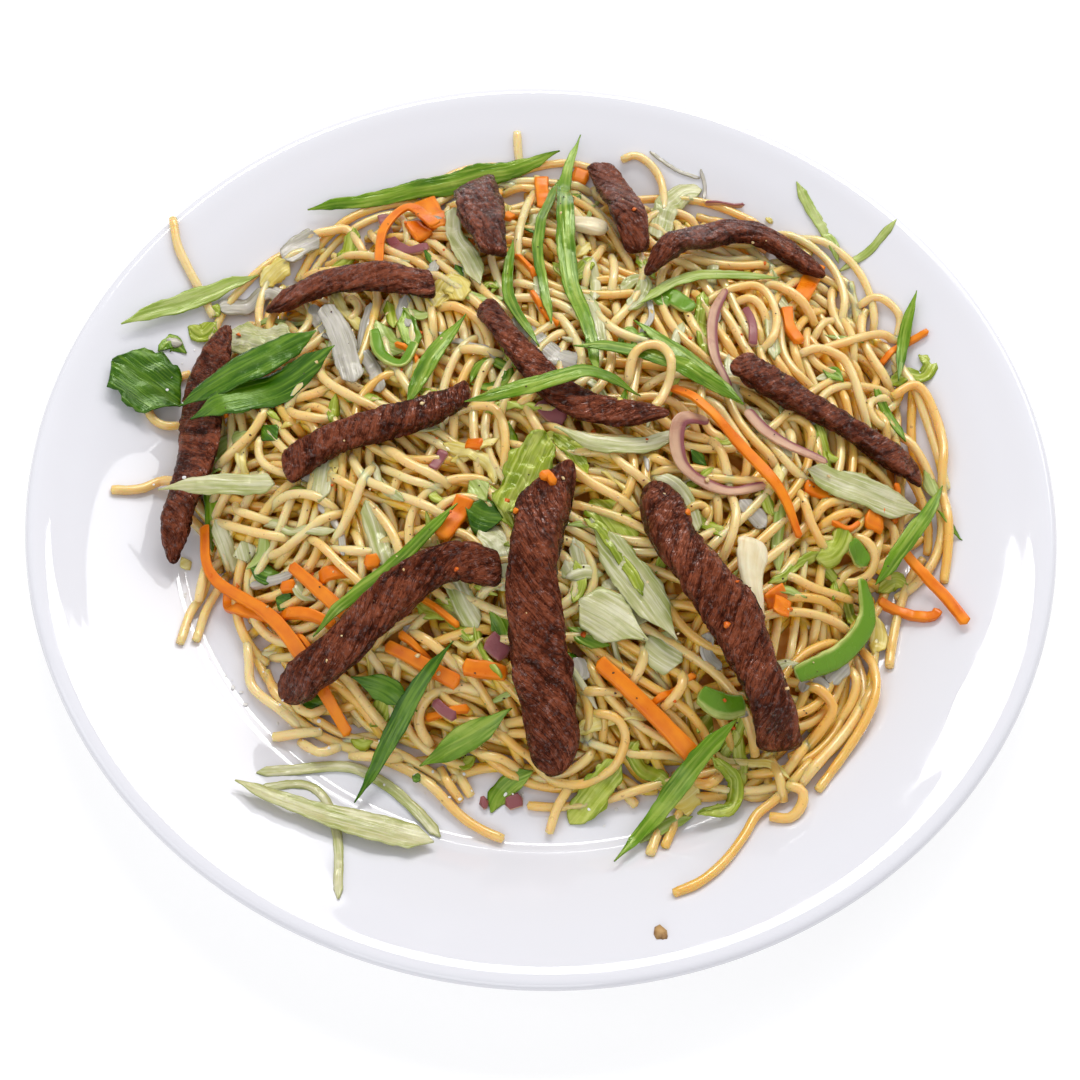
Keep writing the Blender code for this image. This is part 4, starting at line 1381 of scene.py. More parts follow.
class NoodleLayer:
    """Lays noodles one over and under another, each as stiff as a cooked noodle."""

    RADIUS = 1.25
    STEP = 1.5
    SHORTEST = 31.0
    DEEPEST = 3.3  # how far it may sink into what is there, in radii
    END = 6.5  # how long the stretch is over which an end dips
    BENDS = ((13, 26), (22, 60), (30, 90))  # radii of a tight, a usual and a lazy bend

    def __init__(self, ground: Ground, seed: int) -> None:
        """Starts a layer.

        Args:
            ground: what it lies on.
            seed: the seed of its chance.
        """
        self.ground = ground
        self.rng = random.Random(seed)
        self.strands: list[Strand] = []

    def needed(self, route: np.ndarray, radius: float) -> tuple[np.ndarray, np.ndarray]:
        """How high a noodle's middle must be to lie on the ground, and may be under the toppings.

        Args:
            route: places in the plan.
            radius: half its thickness.

        Returns:
            The lowest and the highest middle along the route.
        """
        side = side_of(route)
        need = np.full(len(route), NOWHERE)
        roof = np.full(len(route), SKY)
        for share in (-0.9, -0.45, 0.0, 0.45, 0.9):
            cell = self.ground.cells(route + side * radius * share)
            arc = radius * math.sqrt(1 - share * share)
            need = np.maximum(need, self.ground.top[cell] + arc)
            roof = np.minimum(roof, self.ground.under[cell] - arc - 0.15)
        return need, roof

    def fitted(self, route: np.ndarray, radius: float, allowance: float, tucked: bool) -> np.ndarray:
        """The height of a noodle's middle: over what it can, and under the rest.

        Args:
            route: places in the plan.
            radius: half its thickness.
            allowance: how far it may stand above the mound.
            tucked: whether it goes under the toppings.

        Returns:
            Heights along the route.
        """
        cell = self.ground.cells(route)
        floor = self.ground.plate[cell] + radius
        need, roof = self.needed(route, radius)
        shortest_dip, shortest_rise = 4, 7
        above = need + radius < np.maximum(self.ground.mound[cell], floor + radius) + allowance
        above = ~closed_gaps(~closed_gaps(above, shortest_dip), shortest_rise)
        low = np.maximum(self.ground.top[cell] - self.DEEPEST * radius, floor)
        lie = np.where(above, need, low)
        for _ in range(5):
            smooth = blurred(lie, 2)
            sunk = np.minimum(smooth, np.maximum(low, smooth - 1.2))
            lie = np.where(above, np.maximum(need, smooth - 0.04), sunk)
        if tucked:
            lie = np.minimum(lie, roof)
            for _ in range(3):
                lie = np.minimum(np.maximum(blurred(lie, 2), floor), roof)
        return np.maximum(blurred(lie, 1), floor - 0.3)

    def stamp(self, route: np.ndarray, height: np.ndarray, radius: float) -> None:
        """Raises the ground by a noodle.

        Args:
            route: places in the plan.
            height: its middle's height.
            radius: half its thickness.
        """
        marks = np.linspace(0, len(route) - 1, len(route) * 3)
        x, y, z = (np.interp(marks, range(len(route)), column) for column in (*route.T, height))
        fine = np.stack([x, y], axis=1)
        side = side_of(fine)
        for share in np.linspace(-1, 1, 7):
            cell = self.ground.cells(fine + side * radius * share)
            np.maximum.at(self.ground.top, cell, z + radius * math.sqrt(max(0.0, 1 - share * share)))

    def shade(self, tone: float, spread: float) -> float:
        """A noodle's own tone, by chance.

        Args:
            tone: the usual tone, from 0 for pale to 1 for amber.
            spread: how much it varies.

        Returns:
            The tone.
        """
        return min(1.0, max(0.0, self.rng.gauss(tone, spread)))

    def lay(self, route: np.ndarray, tone: float, allowance: float, tucked: bool = True,
            dive: float = 3.2) -> bool:
        """Lays one noodle.

        Args:
            route: places in the plan.
            tone: its colour, from 0 for pale to 1 for amber.
            allowance: how far it may stand above the mound.
            tucked: whether it goes under the toppings.
            dive: how far its ends dip, in millimetres.

        Returns:
            Whether it was laid.
        """
        if len(route) < 6:
            return False
        radius = self.RADIUS * self.rng.uniform(0.93, 1.06)
        height = self.fitted(route, radius, allowance, tucked)
        place = np.arange(len(route)) * self.STEP
        from_end = np.minimum(place, place[-1] - place)
        dip = dive * np.clip(1 - from_end / self.END, 0, 1) ** 1.6
        floor = self.ground.plate[self.ground.cells(route)] + radius - 0.2
        height = np.maximum(height - dip, np.minimum(height, floor))
        self.stamp(route, height, radius)
        self.strands.append(Strand(np.column_stack([route, height]), radius, tone))
        return True

    def wander(self, middle: Place, heading: float, length: float) -> np.ndarray:
        """A noodle's lazy route through a place.

        Args:
            middle: the place, halfway along it.
            heading: its direction there.
            length: its length.

        Returns:
            Places in the plan, inside the heap's reach.
        """
        half = max(4, int(length / self.STEP / 2))
        s = np.arange(-half, half + 1) * self.STEP
        way = self.rng.choice((-1, 1))
        turn = way / self.rng.choice([self.rng.uniform(*bend) for bend in self.BENDS])
        sway = self.rng.uniform(0.1, 0.45)
        pace = self.rng.uniform(7, 16)
        phase = self.rng.uniform(0, 6.3)
        angles = heading + turn * s + sway * (np.sin(s / pace + phase) - math.sin(phase))
        steps = np.stack([np.cos(angles), np.sin(angles)], axis=1) * self.STEP
        route = np.cumsum(steps, axis=0)
        route += np.array(middle) - route[half]
        direction = np.rint(np.degrees(np.arctan2(route[:, 1], route[:, 0]))).astype(int) % 360
        inside = np.hypot(route[:, 0], route[:, 1]) < self.ground.reach[direction] + 1.5
        first, last = longest_run(inside)
        return route[first:last]

    def free_run(self, route: np.ndarray, allowance: float) -> np.ndarray:
        """The longest stretch of a route where a noodle may lie on top of what is there.

        Args:
            route: places in the plan.
            allowance: how far it may stand above the mound.

        Returns:
            The stretch.
        """
        height = self.needed(route, self.RADIUS)[0]
        need = height
        for _ in range(4):
            height = np.maximum(need, blurred(height, 2) - 0.05)
        cell = self.ground.cells(route)
        ceiling = np.maximum(self.ground.mound[cell], self.ground.plate[cell] + 2 * self.RADIUS) + allowance
        first, last = longest_run(closed_gaps(height + self.RADIUS < ceiling, 3))
        return route[max(0, first - 2):last + 2]

    def bundle(self, middle: Place, heading: float, length: float, count: int, allowance: float,
               tone: float) -> int:
        """Lays a few noodles side by side.

        Args:
            middle: the middle of the bundle.
            heading: its direction.
            length: its length.
            count: how many noodles.
            allowance: how far they may stand above the mound.
            tone: their colour, from 0 for pale to 1 for amber.

        Returns:
            How many were laid.
        """
        spine = self.wander(middle, heading, length)
        if len(spine) < 12:
            return 0
        side = side_of(spine)
        laid = 0
        for k in range(count):
            offset = (k - (count - 1) / 2) * self.RADIUS * 2.2 + self.rng.uniform(-0.3, 0.3)
            drift = self.rng.uniform(-4.5, 4.5) * np.linspace(-1, 1, len(spine))
            route = spine + side * (offset + drift)[:, None]
            first = self.rng.randrange(0, len(route) // 6)
            last = len(route) - self.rng.randrange(0, len(route) // 6)
            route = self.free_run(route[first:last], allowance)
            shade = self.shade(tone, 0.24)
            if len(route) * self.STEP > self.SHORTEST:
                laid += self.lay(route, shade, allowance + 1.6, dive=4.6)
        return laid


def longest_run(fits: np.ndarray) -> tuple[int, int]:
    """The longest stretch of True.

    Args:
        fits: truth along a route.

    Returns:
        Its start and end indexes.
    """
    edges = np.flatnonzero(np.diff(np.concatenate([[0], fits.astype(int), [0]])))
    if len(edges) == 0:
        return 0, 0
    spans = edges[1::2] - edges[::2]
    best = int(np.argmax(spans))
    return int(edges[2 * best]), int(edges[2 * best + 1])


def closed_gaps(truth: np.ndarray, longest: int) -> np.ndarray:
    """The truth with its short false stretches made true.

    Args:
        truth: truth along a route.
        longest: the longest stretch that is filled.

    Returns:
        The filled truth.
    """
    out = truth.copy()
    edges = np.flatnonzero(np.diff(np.concatenate([[0], (~truth).astype(int), [0]])))
    for start, end in zip(edges[::2], edges[1::2]):
        if end - start <= longest:
            out[start:end] = True
    return out


def tubes(name: str, strands: list[Strand], resolution: int) -> bpy.types.Object:
    """Makes noodles from curves with a round bevel.

    Args:
        name: the piece's name.
        strands: the noodles.
        resolution: the bevel's resolution.

    Returns:
        One mesh of all of them, with the attribute "tone".
    """
    curve = bpy.data.curves.new(name, "CURVE")
    curve.dimensions = "3D"
    curve.bevel_depth = MM
    curve.bevel_resolution = resolution
    for strand in strands:
        points = strand.points
        first = points[0] + (points[0] - points[1]) * 0.25
        last = points[-1] + (points[-1] - points[-2]) * 0.25
        points = np.vstack([first, points, last])
        spline = curve.splines.new("POLY")
        spline.points.add(len(points) - 1)
        spline.points.foreach_set("co", np.column_stack([points * MM, np.ones(len(points))]).ravel())
        wobble = 1 + 0.05 * ripple(points[:, 0], points[:, 1], 9.0, strand.tone * 9)
        radius = strand.radius * wobble
        radius[0] = radius[-1] = 0.0
        radius[1] *= 0.9
        radius[-2] *= 0.9
        spline.points.foreach_set("radius", radius)
    piece = bpy.data.objects.new(name, curve)
    bpy.context.scene.collection.objects.link(piece)
    deselect_all()
    piece.select_set(True)
    bpy.context.view_layer.objects.active = piece
    bpy.ops.object.convert(target="MESH")
    piece = bpy.context.active_object
    mesh = piece.data
    sides = len(mesh.vertices) // sum(len(strand.points) + 2 for strand in strands)
    tones = np.concatenate([np.full((len(s.points) + 2) * sides, s.tone) for s in strands])
    store(mesh, "tone", tones)
    weld()
    bpy.ops.object.shade_smooth()
    return piece


# The lie of the noodles: places in the picture, and the direction there in degrees from
# the right, as the diner sees it.
FLOW = (
    (300, 400, -50), (400, 470, -30), (300, 520, 20), (350, 560, -40), (560, 450, -50),
    (640, 460, -42), (740, 440, -50), (720, 520, -85), (850, 520, 0), (830, 590, -20),
    (760, 320, -60), (860, 340, -10), (620, 270, -70), (450, 350, -50), (850, 700, 70),
    (790, 780, 50), (640, 720, -40), (450, 720, -40), (290, 700, -50), (220, 570, 70),
    (420, 190, 10), (530, 200, -70), (900, 420, -60), (560, 760, -10), (600, 600, -45),
)

# Single noodles that the eye follows, as places in the picture. The first lie under the
# vegetables, the others over them.
LOW_NOODLES = (
    ((299, 246), (310, 240), (330, 237), (350, 238), (365, 250)),
    ((305, 495), (282, 488), (265, 493), (254, 506), (250, 520)),
    ((275, 505), (290, 500), (310, 502), (330, 512)),
    ((277, 511), (292, 519), (310, 519), (325, 514)),
    ((235, 503), (240, 514), (255, 520), (275, 520)),
    ((213, 520), (230, 528), (250, 535), (270, 538), (292, 536)),
    ((255, 545), (256, 560), (258, 572)),
    ((375, 535), (390, 530), (410, 527), (428, 524)),
    ((378, 546), (400, 541), (422, 534)),
    ((345, 560), (360, 567), (372, 582)),
    ((212, 532), (222, 548), (228, 566)),
    ((240, 540), (243, 562)),
    ((330, 546), (345, 552), (362, 553), (380, 548)),
    ((262, 655), (275, 645), (292, 638)),
    ((390, 660), (400, 675), (411, 692)),
    ((300, 598), (320, 600), (337, 606)),
    ((605, 240), (598, 255), (588, 270), (584, 288)),
    ((612, 252), (614, 272), (611, 294)),
    ((622, 248), (624, 270), (620, 292)),
    ((600, 328), (612, 345), (630, 352)),
    ((450, 345), (465, 350), (485, 352), (502, 350)),
    ((460, 355), (458, 378)),
    ((508, 280), (510, 296), (513, 312), (521, 328)),
    ((395, 212), (405, 224), (408, 242)),
    ((425, 208), (440, 230), (450, 250), (456, 264)),
    ((400, 197), (420, 186), (440, 183), (458, 181)),
    ((700, 298), (697, 320), (701, 346)),
    ((730, 308), (733, 330), (739, 347)),
    ((740, 318), (750, 334), (750, 352)),
    ((835, 298), (845, 320), (852, 340), (855, 362)),
    ((850, 283), (855, 308), (865, 330), (870, 347)),
    ((840, 278), (850, 290), (852, 312)),
    ((815, 332), (825, 320), (840, 314), (852, 309)),
    ((870, 378), (875, 400), (885, 420), (889, 442)),
    ((770, 420), (790, 414), (805, 421), (812, 435), (810, 452)),
    ((700, 480), (712, 485), (718, 500), (720, 520)),
    ((885, 498), (885, 520), (880, 540), (874, 562)),
    ((905, 508), (905, 530), (899, 552)),
    ((800, 520), (805, 540), (800, 560), (790, 572)),
    ((798, 598), (810, 615), (820, 625), (836, 636)),
    ((805, 606), (828, 600), (846, 616)),
    ((735, 780), (745, 795), (760, 797), (776, 790)),
    ((755, 750), (765, 770), (770, 792)),
    ((700, 653), (697, 672), (703, 690)),
    ((715, 650), (722, 665), (731, 682)),
    ((340, 745), (360, 738), (382, 738)),
    ((350, 755), (370, 760), (390, 762), (406, 757)),
    ((400, 735), (420, 740), (442, 738)),
    ((430, 720), (445, 728), (456, 736)),
    ((440, 768), (448, 784), (461, 801)),
    ((450, 765), (460, 778), (471, 796)),
    ((470, 764), (478, 776), (484, 786)),
    ((500, 720), (530, 722), (552, 724)),
    ((505, 732), (530, 735), (550, 736)),
    ((300, 742), (320, 755), (338, 748), (351, 736)),
    ((596, 658), (614, 655), (622, 668), (617, 680), (604, 688)),
    ((620, 698), (628, 714), (640, 729), (654, 737), (667, 738)),
    ((612, 762), (624, 779), (640, 790), (657, 791)),
    ((630, 752), (640, 769), (656, 786)),
    ((500, 765), (520, 775), (545, 781), (565, 778), (580, 768), (590, 755), (592, 742)),
    ((775, 262), (790, 256), (804, 258), (811, 271)),
    ((766, 622), (780, 614), (796, 599)),
    ((772, 640), (791, 643)),
    ((440, 412), (470, 424), (500, 432)),
    ((437, 427), (452, 420), (472, 420)),
    ((548, 424), (562, 435), (580, 443), (591, 455), (600, 470), (608, 492)),
    ((635, 449), (650, 455), (665, 463), (683, 470)),
    ((380, 460), (395, 474), (415, 483), (441, 487)),
    ((380, 490), (400, 497), (420, 505), (451, 519)),
)
HIGH_NOODLES = (
    ((272, 398), (257, 428), (240, 448), (217, 466)),
    ((330, 352), (320, 368), (326, 382), (345, 395), (365, 405), (387, 413)),
    ((320, 379), (305, 386), (291, 400), (284, 416), (286, 431), (297, 442)),
    ((288, 409), (300, 418), (320, 420), (337, 414)),
    ((352, 448), (355, 465), (366, 481), (382, 490), (402, 497)),
    ((362, 447), (377, 456), (387, 470), (400, 480), (420, 487)),
    ((378, 443), (395, 456), (410, 467), (430, 476), (449, 482)),
    ((328, 474), (345, 485), (365, 491), (388, 496), (420, 507), (442, 518)),
    ((336, 508), (315, 499), (290, 496), (270, 505), (258, 520), (256, 540), (264, 553),
     (282, 552), (302, 539), (320, 524), (342, 509)),
    ((310, 538), (325, 551), (340, 566), (355, 580), (366, 591), (377, 602)),
    ((372, 465), (363, 485), (355, 506), (345, 525), (333, 541)),
    ((537, 176), (531, 198), (524, 216), (519, 234), (518, 252), (523, 272)),
    ((705, 301), (722, 291), (740, 288), (756, 290), (769, 301), (776, 320), (772, 340), (760, 351)),
    ((733, 299), (750, 300), (763, 312), (768, 330), (763, 347)),
    ((752, 285), (770, 285), (785, 294), (800, 305), (816, 322)),
    ((812, 354), (830, 347), (850, 344), (878, 342), (902, 340)),
    ((798, 351), (820, 352), (840, 360), (850, 375), (858, 394), (864, 411), (871, 428)),
    ((858, 308), (874, 300), (890, 305), (900, 318), (897, 338)),
    ((745, 398), (757, 420), (768, 437), (780, 454), (791, 468), (805, 477), (822, 480)),
    ((704, 394), (720, 411), (738, 438), (756, 461)),
    ((690, 470), (712, 478), (742, 482), (772, 478)),
    ((709, 436), (720, 453), (727, 475), (733, 500), (735, 520), (729, 544), (719, 562)),
    ((812, 520), (822, 508), (836, 502), (858, 502), (882, 509)),
    ((820, 526), (840, 518), (866, 513)),
    ((799, 488), (805, 510), (812, 530), (826, 552)),
    ((808, 512), (817, 530), (830, 550)),
    ((850, 534), (864, 544), (873, 560), (869, 575), (855, 580), (841, 573)),
    ((774, 569), (790, 577), (810, 587), (830, 594), (853, 597)),
    ((328, 672), (340, 685), (350, 700), (361, 716), (376, 731), (392, 741)),
    ((335, 667), (349, 681), (361, 698), (374, 716), (389, 733)),
    ((248, 640), (250, 663), (251, 684), (262, 698), (280, 712), (302, 729)),
    ((293, 700), (300, 712), (313, 719), (326, 712), (334, 703)),
    ((582, 690), (600, 692), (620, 690), (635, 678), (643, 661), (643, 643)),
    ((680, 668), (682, 685), (675, 699), (663, 709)),
    ((690, 783), (705, 789), (718, 780), (722, 763)),
    ((772, 758), (775, 780), (783, 802)),
    ((800, 680), (815, 687), (828, 702), (829, 718), (818, 736), (804, 753)),
    ((848, 662), (853, 685), (850, 704), (838, 725), (820, 748), (804, 766), (788, 787)),
    ((855, 658), (862, 680), (862, 700), (851, 724), (835, 746), (817, 766), (798, 788)),
    ((862, 650), (870, 670), (873, 693), (868, 714), (857, 735), (843, 756), (829, 775), (818, 790)),
    ((838, 690), (830, 712), (815, 735), (796, 760), (778, 785)),
    ((525, 403), (535, 424), (550, 445), (565, 462), (577, 475), (595, 488), (618, 500), (637, 509)),
    ((604, 438), (612, 451), (623, 465), (640, 479), (657, 488)),
    ((430, 427), (450, 434), (474, 439), (497, 442)),
    ((436, 421), (452, 413), (470, 409), (490, 410), (500, 419), (505, 436), (505, 460), (505, 484)),
    ((482, 690), (460, 686), (440, 690), (425, 701), (419, 716), (421, 731), (431, 747)),
    ((470, 745), (485, 756), (502, 766), (522, 774)),
    ((492, 719), (503, 735), (515, 748), (530, 763), (545, 779), (561, 788), (580, 790), (600, 783),
     (615, 768), (623, 750), (625, 735), (618, 721), (604, 714), (590, 712)),
    ((408, 629), (422, 638), (440, 652), (456, 667), (476, 681), (499, 693)),
    ((372, 652), (387, 656), (405, 664), (425, 677), (442, 692)),
)
OVER_NOODLES = (
    ((628, 384), (632, 363), (644, 354), (658, 355), (667, 367), (669, 384), (662, 401), (652, 417)),
)
STRAY_NOODLES = (
    ((173, 219), (178, 246), (187, 266), (197, 285), (206, 302), (214, 318)),
    ((112, 490), (140, 490), (165, 485), (190, 480)),
    ((180, 643), (190, 615), (201, 599), (214, 574), (222, 556)),
    ((196, 640), (206, 612), (217, 594), (226, 575)),
    ((422, 780), (436, 792), (452, 808), (467, 821), (484, 831), (503, 839)),
    ((549, 833), (557, 810), (567, 794), (575, 778)),
    ((650, 854), (656, 838), (664, 820)),
    ((665, 846), (672, 829), (680, 812)),
    ((674, 893), (700, 882), (724, 862), (744, 836), (756, 816), (775, 801), (792, 784), (808, 766)),
    ((784, 790), (800, 794), (801, 806), (790, 818), (770, 817)),
    ((944, 582), (947, 550), (946, 520), (940, 480), (941, 445), (930, 412), (912, 394), (893, 396)),
    ((273, 737), (300, 736), (322, 734)),
    ((190, 374), (168, 382), (153, 394), (148, 407), (153, 419), (165, 427), (182, 428)),
    ((876, 682), (868, 698), (858, 716)),
    ((517, 132), (518, 150), (520, 168)),
    ((622, 160), (635, 156), (650, 165), (659, 180), (662, 197), (664, 214)),
    ((210, 560), (205, 585), (200, 605)),
    ((404, 770), (416, 762), (430, 760)),
)

# The brown crumbs on the front rim, as places in the picture.
STRAY_CRUMBS = ((661, 932), (664, 935))


@dataclass
class NoodleHeap:
    """The heap: its own core, and the noodles over it in layers."""

    ground: Ground
    view: View
    deep_points: int = 15800
    middle_points: int = 11800
    draped_points: int = 11800
    seed: int = 11
    pieces: list[bpy.types.Object] = field(default_factory=list)

    SPOTS: ClassVar[int] = 1400
    SAUCE_AND_SHADE_DEPTH: ClassVar[float] = 6.0  # how deep a noodle lies that the sauce colour and the painted warm shade colour most

    def __post_init__(self) -> None:
        """Finds the places of the lie of the noodles in the plan."""
        spots = np.array([self.view.plan(spot[:2], self.ground) for spot in FLOW])
        doubled = 2 * np.radians([spot[2] for spot in FLOW])
        self.flow = np.column_stack([spots, np.cos(doubled), np.sin(doubled)])

    def build_core(self, finish: bpy.types.Material) -> None:
        """A closed lump of packed noodle under the loose ones, its deep amber painted warm shade for the gaps
        between them.

        Args:
            finish: its material.
        """
        turns, upper, lower, inset = 120, 48, 10, 6.0
        angle = np.linspace(0, 2 * math.pi, turns + 1)
        all_round = np.append(self.ground.reach, self.ground.reach[0])
        reach = np.interp(np.degrees(angle), np.arange(361), all_round) - inset
        directions = np.stack([np.cos(angle), np.sin(angle)], axis=1)
        rings = []
        for share in np.linspace(0, 1, upper):
            spots = (reach * share)[:, None] * directions
            lump = self.ground.core[self.ground.cells(spots)] - 0.4
            rings.append(np.column_stack([spots, np.maximum(lump, Plate.height(*spots.T) + 0.25)]))
        for share in np.linspace(1, 0, lower):
            spots = (reach * share)[:, None] * directions
            rings.append(np.column_stack([spots, Plate.height(*spots.T) + 0.15]))
        points = np.array(rings)
        piece = wrapped("noodle_core", points, points[..., :2] / 10, np.zeros(points.shape[:2]), True)
        self.pieces.append(dress(piece, finish, Material.NOODLE, "noodles"))

    def heading(self, x: float, y: float) -> float:
        """The lie of the noodles at a place, in radians.

        Args:
            x: the place.
            y: the place.

        Returns:
            The direction.
        """
        softness = 60
        weight = (softness + (self.flow[:, 0] - x) ** 2 + (self.flow[:, 1] - y) ** 2) ** -1.5
        cos, sin = weight @ self.flow[:, 2:]
        return math.atan2(sin, cos) / 2

    @staticmethod
    def wetness(x: float, y: float) -> float:
        """How much more amber the noodles are at a place: most to the front right."""
        return float(np.clip((x - y) / 260 + 0.1, 0, 0.45))

    def scatter(self, layer: NoodleLayer, points: int, allowance: float) -> None:
        """Lays bundles where the heap still lacks most, until it is full.

        Args:
            layer: the layer.
            points: how many points its noodles may have.
            allowance: how far they may stand above the mound.
        """
        rng = layer.rng
        numbers = np.arange(self.SPOTS)
        angle = numbers * GOLDEN_TURN
        reach = self.ground.reach[np.degrees(angle).astype(int) % 360]
        radius = np.sqrt((numbers + 0.5) / self.SPOTS) * reach
        spots = np.stack([radius * np.cos(angle), radius * np.sin(angle)], axis=1)
        around = [self.ground.cells(spots + shift) for shift in ((0, 0), (3, 0), (-3, 0), (0, 3), (0, -3))]
        thickness = 2 * layer.RADIUS
        target = np.mean([np.maximum(self.ground.mound[cell], self.ground.plate[cell] + thickness)
                          for cell in around], axis=0)
        tired = np.array([rng.uniform(0, 1.5) for _ in spots])
        while sum(len(strand.points) for strand in layer.strands) < points and tired.min() < 6:
            top = np.mean([self.ground.top[cell] for cell in around], axis=0)
            best = int(np.argmax(target + allowance - top - tired))
            middle = (float(spots[best, 0]), float(spots[best, 1]))
            tired[best] += 1.5
            heading = self.heading(*middle) + rng.gauss(0, 0.5)
            length, count = rng.uniform(70, 170), rng.choice((1, 2, 3, 4, 5, 6))
            if not layer.bundle(middle, heading, length, count, allowance, 0.3 + self.wetness(*middle)):
                tired[best] += 2.0

    def lay_seen(self, layer: NoodleLayer, routes: Sequence[tuple[Place, ...]], allowance: float,
                 tucked: bool = True, dive: float = 3.2) -> None:
        """Lays the noodles that the picture shows singly.

        Args:
            layer: the layer.
            routes: their places in the picture.
            allowance: how far they may stand above the mound.
            tucked: whether they go under the toppings.
            dive: how far their ends dip.
        """
        for spots in routes:
            route = self.view.route(spots, self.ground, layer.STEP)
            tone = layer.shade(0.2 + self.wetness(*route.mean(axis=0)), 0.18)
            layer.lay(route, tone, allowance, tucked, dive)

    def finish_layer(self, layer: NoodleLayer, name: str, finish: bpy.types.Material,
                     resolution: int) -> None:
        """Turns a layer into a piece.

        Args:
            layer: the layer.
            name: the piece's name.
            finish: its material.
            resolution: the bevel's resolution.
        """
        LOG.info("%s: %d noodles", name, len(layer.strands))
        self.pieces.append(dress(tubes(name, layer.strands, resolution), finish, Material.NOODLE))

    def build_body(self, finish: bpy.types.Material, core_warm_shade_finish: bpy.types.Material) -> None:
        """Lays the noodles that lie under the vegetables.

        Args:
            finish: the noodles' material.
            core_warm_shade_finish: the core's material, whose deep amber is painted warm shade.
        """
        self.build_core(core_warm_shade_finish)
        for name, points, chance, allowance, resolution in (
                ("noodles_deep", self.deep_points, 0, -2.2, 1),
                ("noodles_middle", self.middle_points, 1, 0.4, 2),
                ("noodles_draped", self.draped_points, 5, 2.4, 2)):
            layer = NoodleLayer(self.ground, self.seed + chance)
            self.scatter(layer, points, allowance)
            self.finish_layer(layer, name, finish, resolution)
        trailing = NoodleLayer(self.ground, self.seed + 2)
        self.lay_seen(trailing, STRAY_NOODLES, 9.0, dive=1.0)
        self.lay_seen(trailing, LOW_NOODLES, 2.6)
        self.finish_layer(trailing, "noodles_trailing", finish, 3)

    def build_top(self, finish: bpy.types.Material) -> None:
        """Lays the noodles that lie over the vegetables.

        Args:
            finish: the noodles' material.
        """
        top = NoodleLayer(self.ground, self.seed + 3)
        self.lay_seen(top, HIGH_NOODLES, 4.2)
        self.finish_layer(top, "noodles_top", finish, 3)

    def build_over(self, finish: bpy.types.Material) -> None:
        """Lays the noodles that cross other toppings.

        Args:
            finish: the noodles' material.
        """
        over = NoodleLayer(self.ground, self.seed + 4)
        self.lay_seen(over, OVER_NOODLES, 12.0, False, 2.0)
        self.finish_layer(over, "noodles_over", finish, 3)

    def store_gap_depth(self) -> None:
        """Stores how deep each point of the noodles lies, for the sauce colour and the painted warm shade
        that gather there.
        """
        for piece in self.pieces:
            mesh = piece.data
            spots = np.empty(len(mesh.vertices) * 3, np.float32)
            mesh.vertices.foreach_get("co", spots)
            spots = spots.reshape(-1, 3) / MM
            depth = self.ground.top[self.ground.cells(spots)] - spots[:, 2]
            store(mesh, "depth", np.clip(depth / self.SAUCE_AND_SHADE_DEPTH, 0, 1))


# ---------------------------------------------------------------------------------------
# Toppings
# ---------------------------------------------------------------------------------------


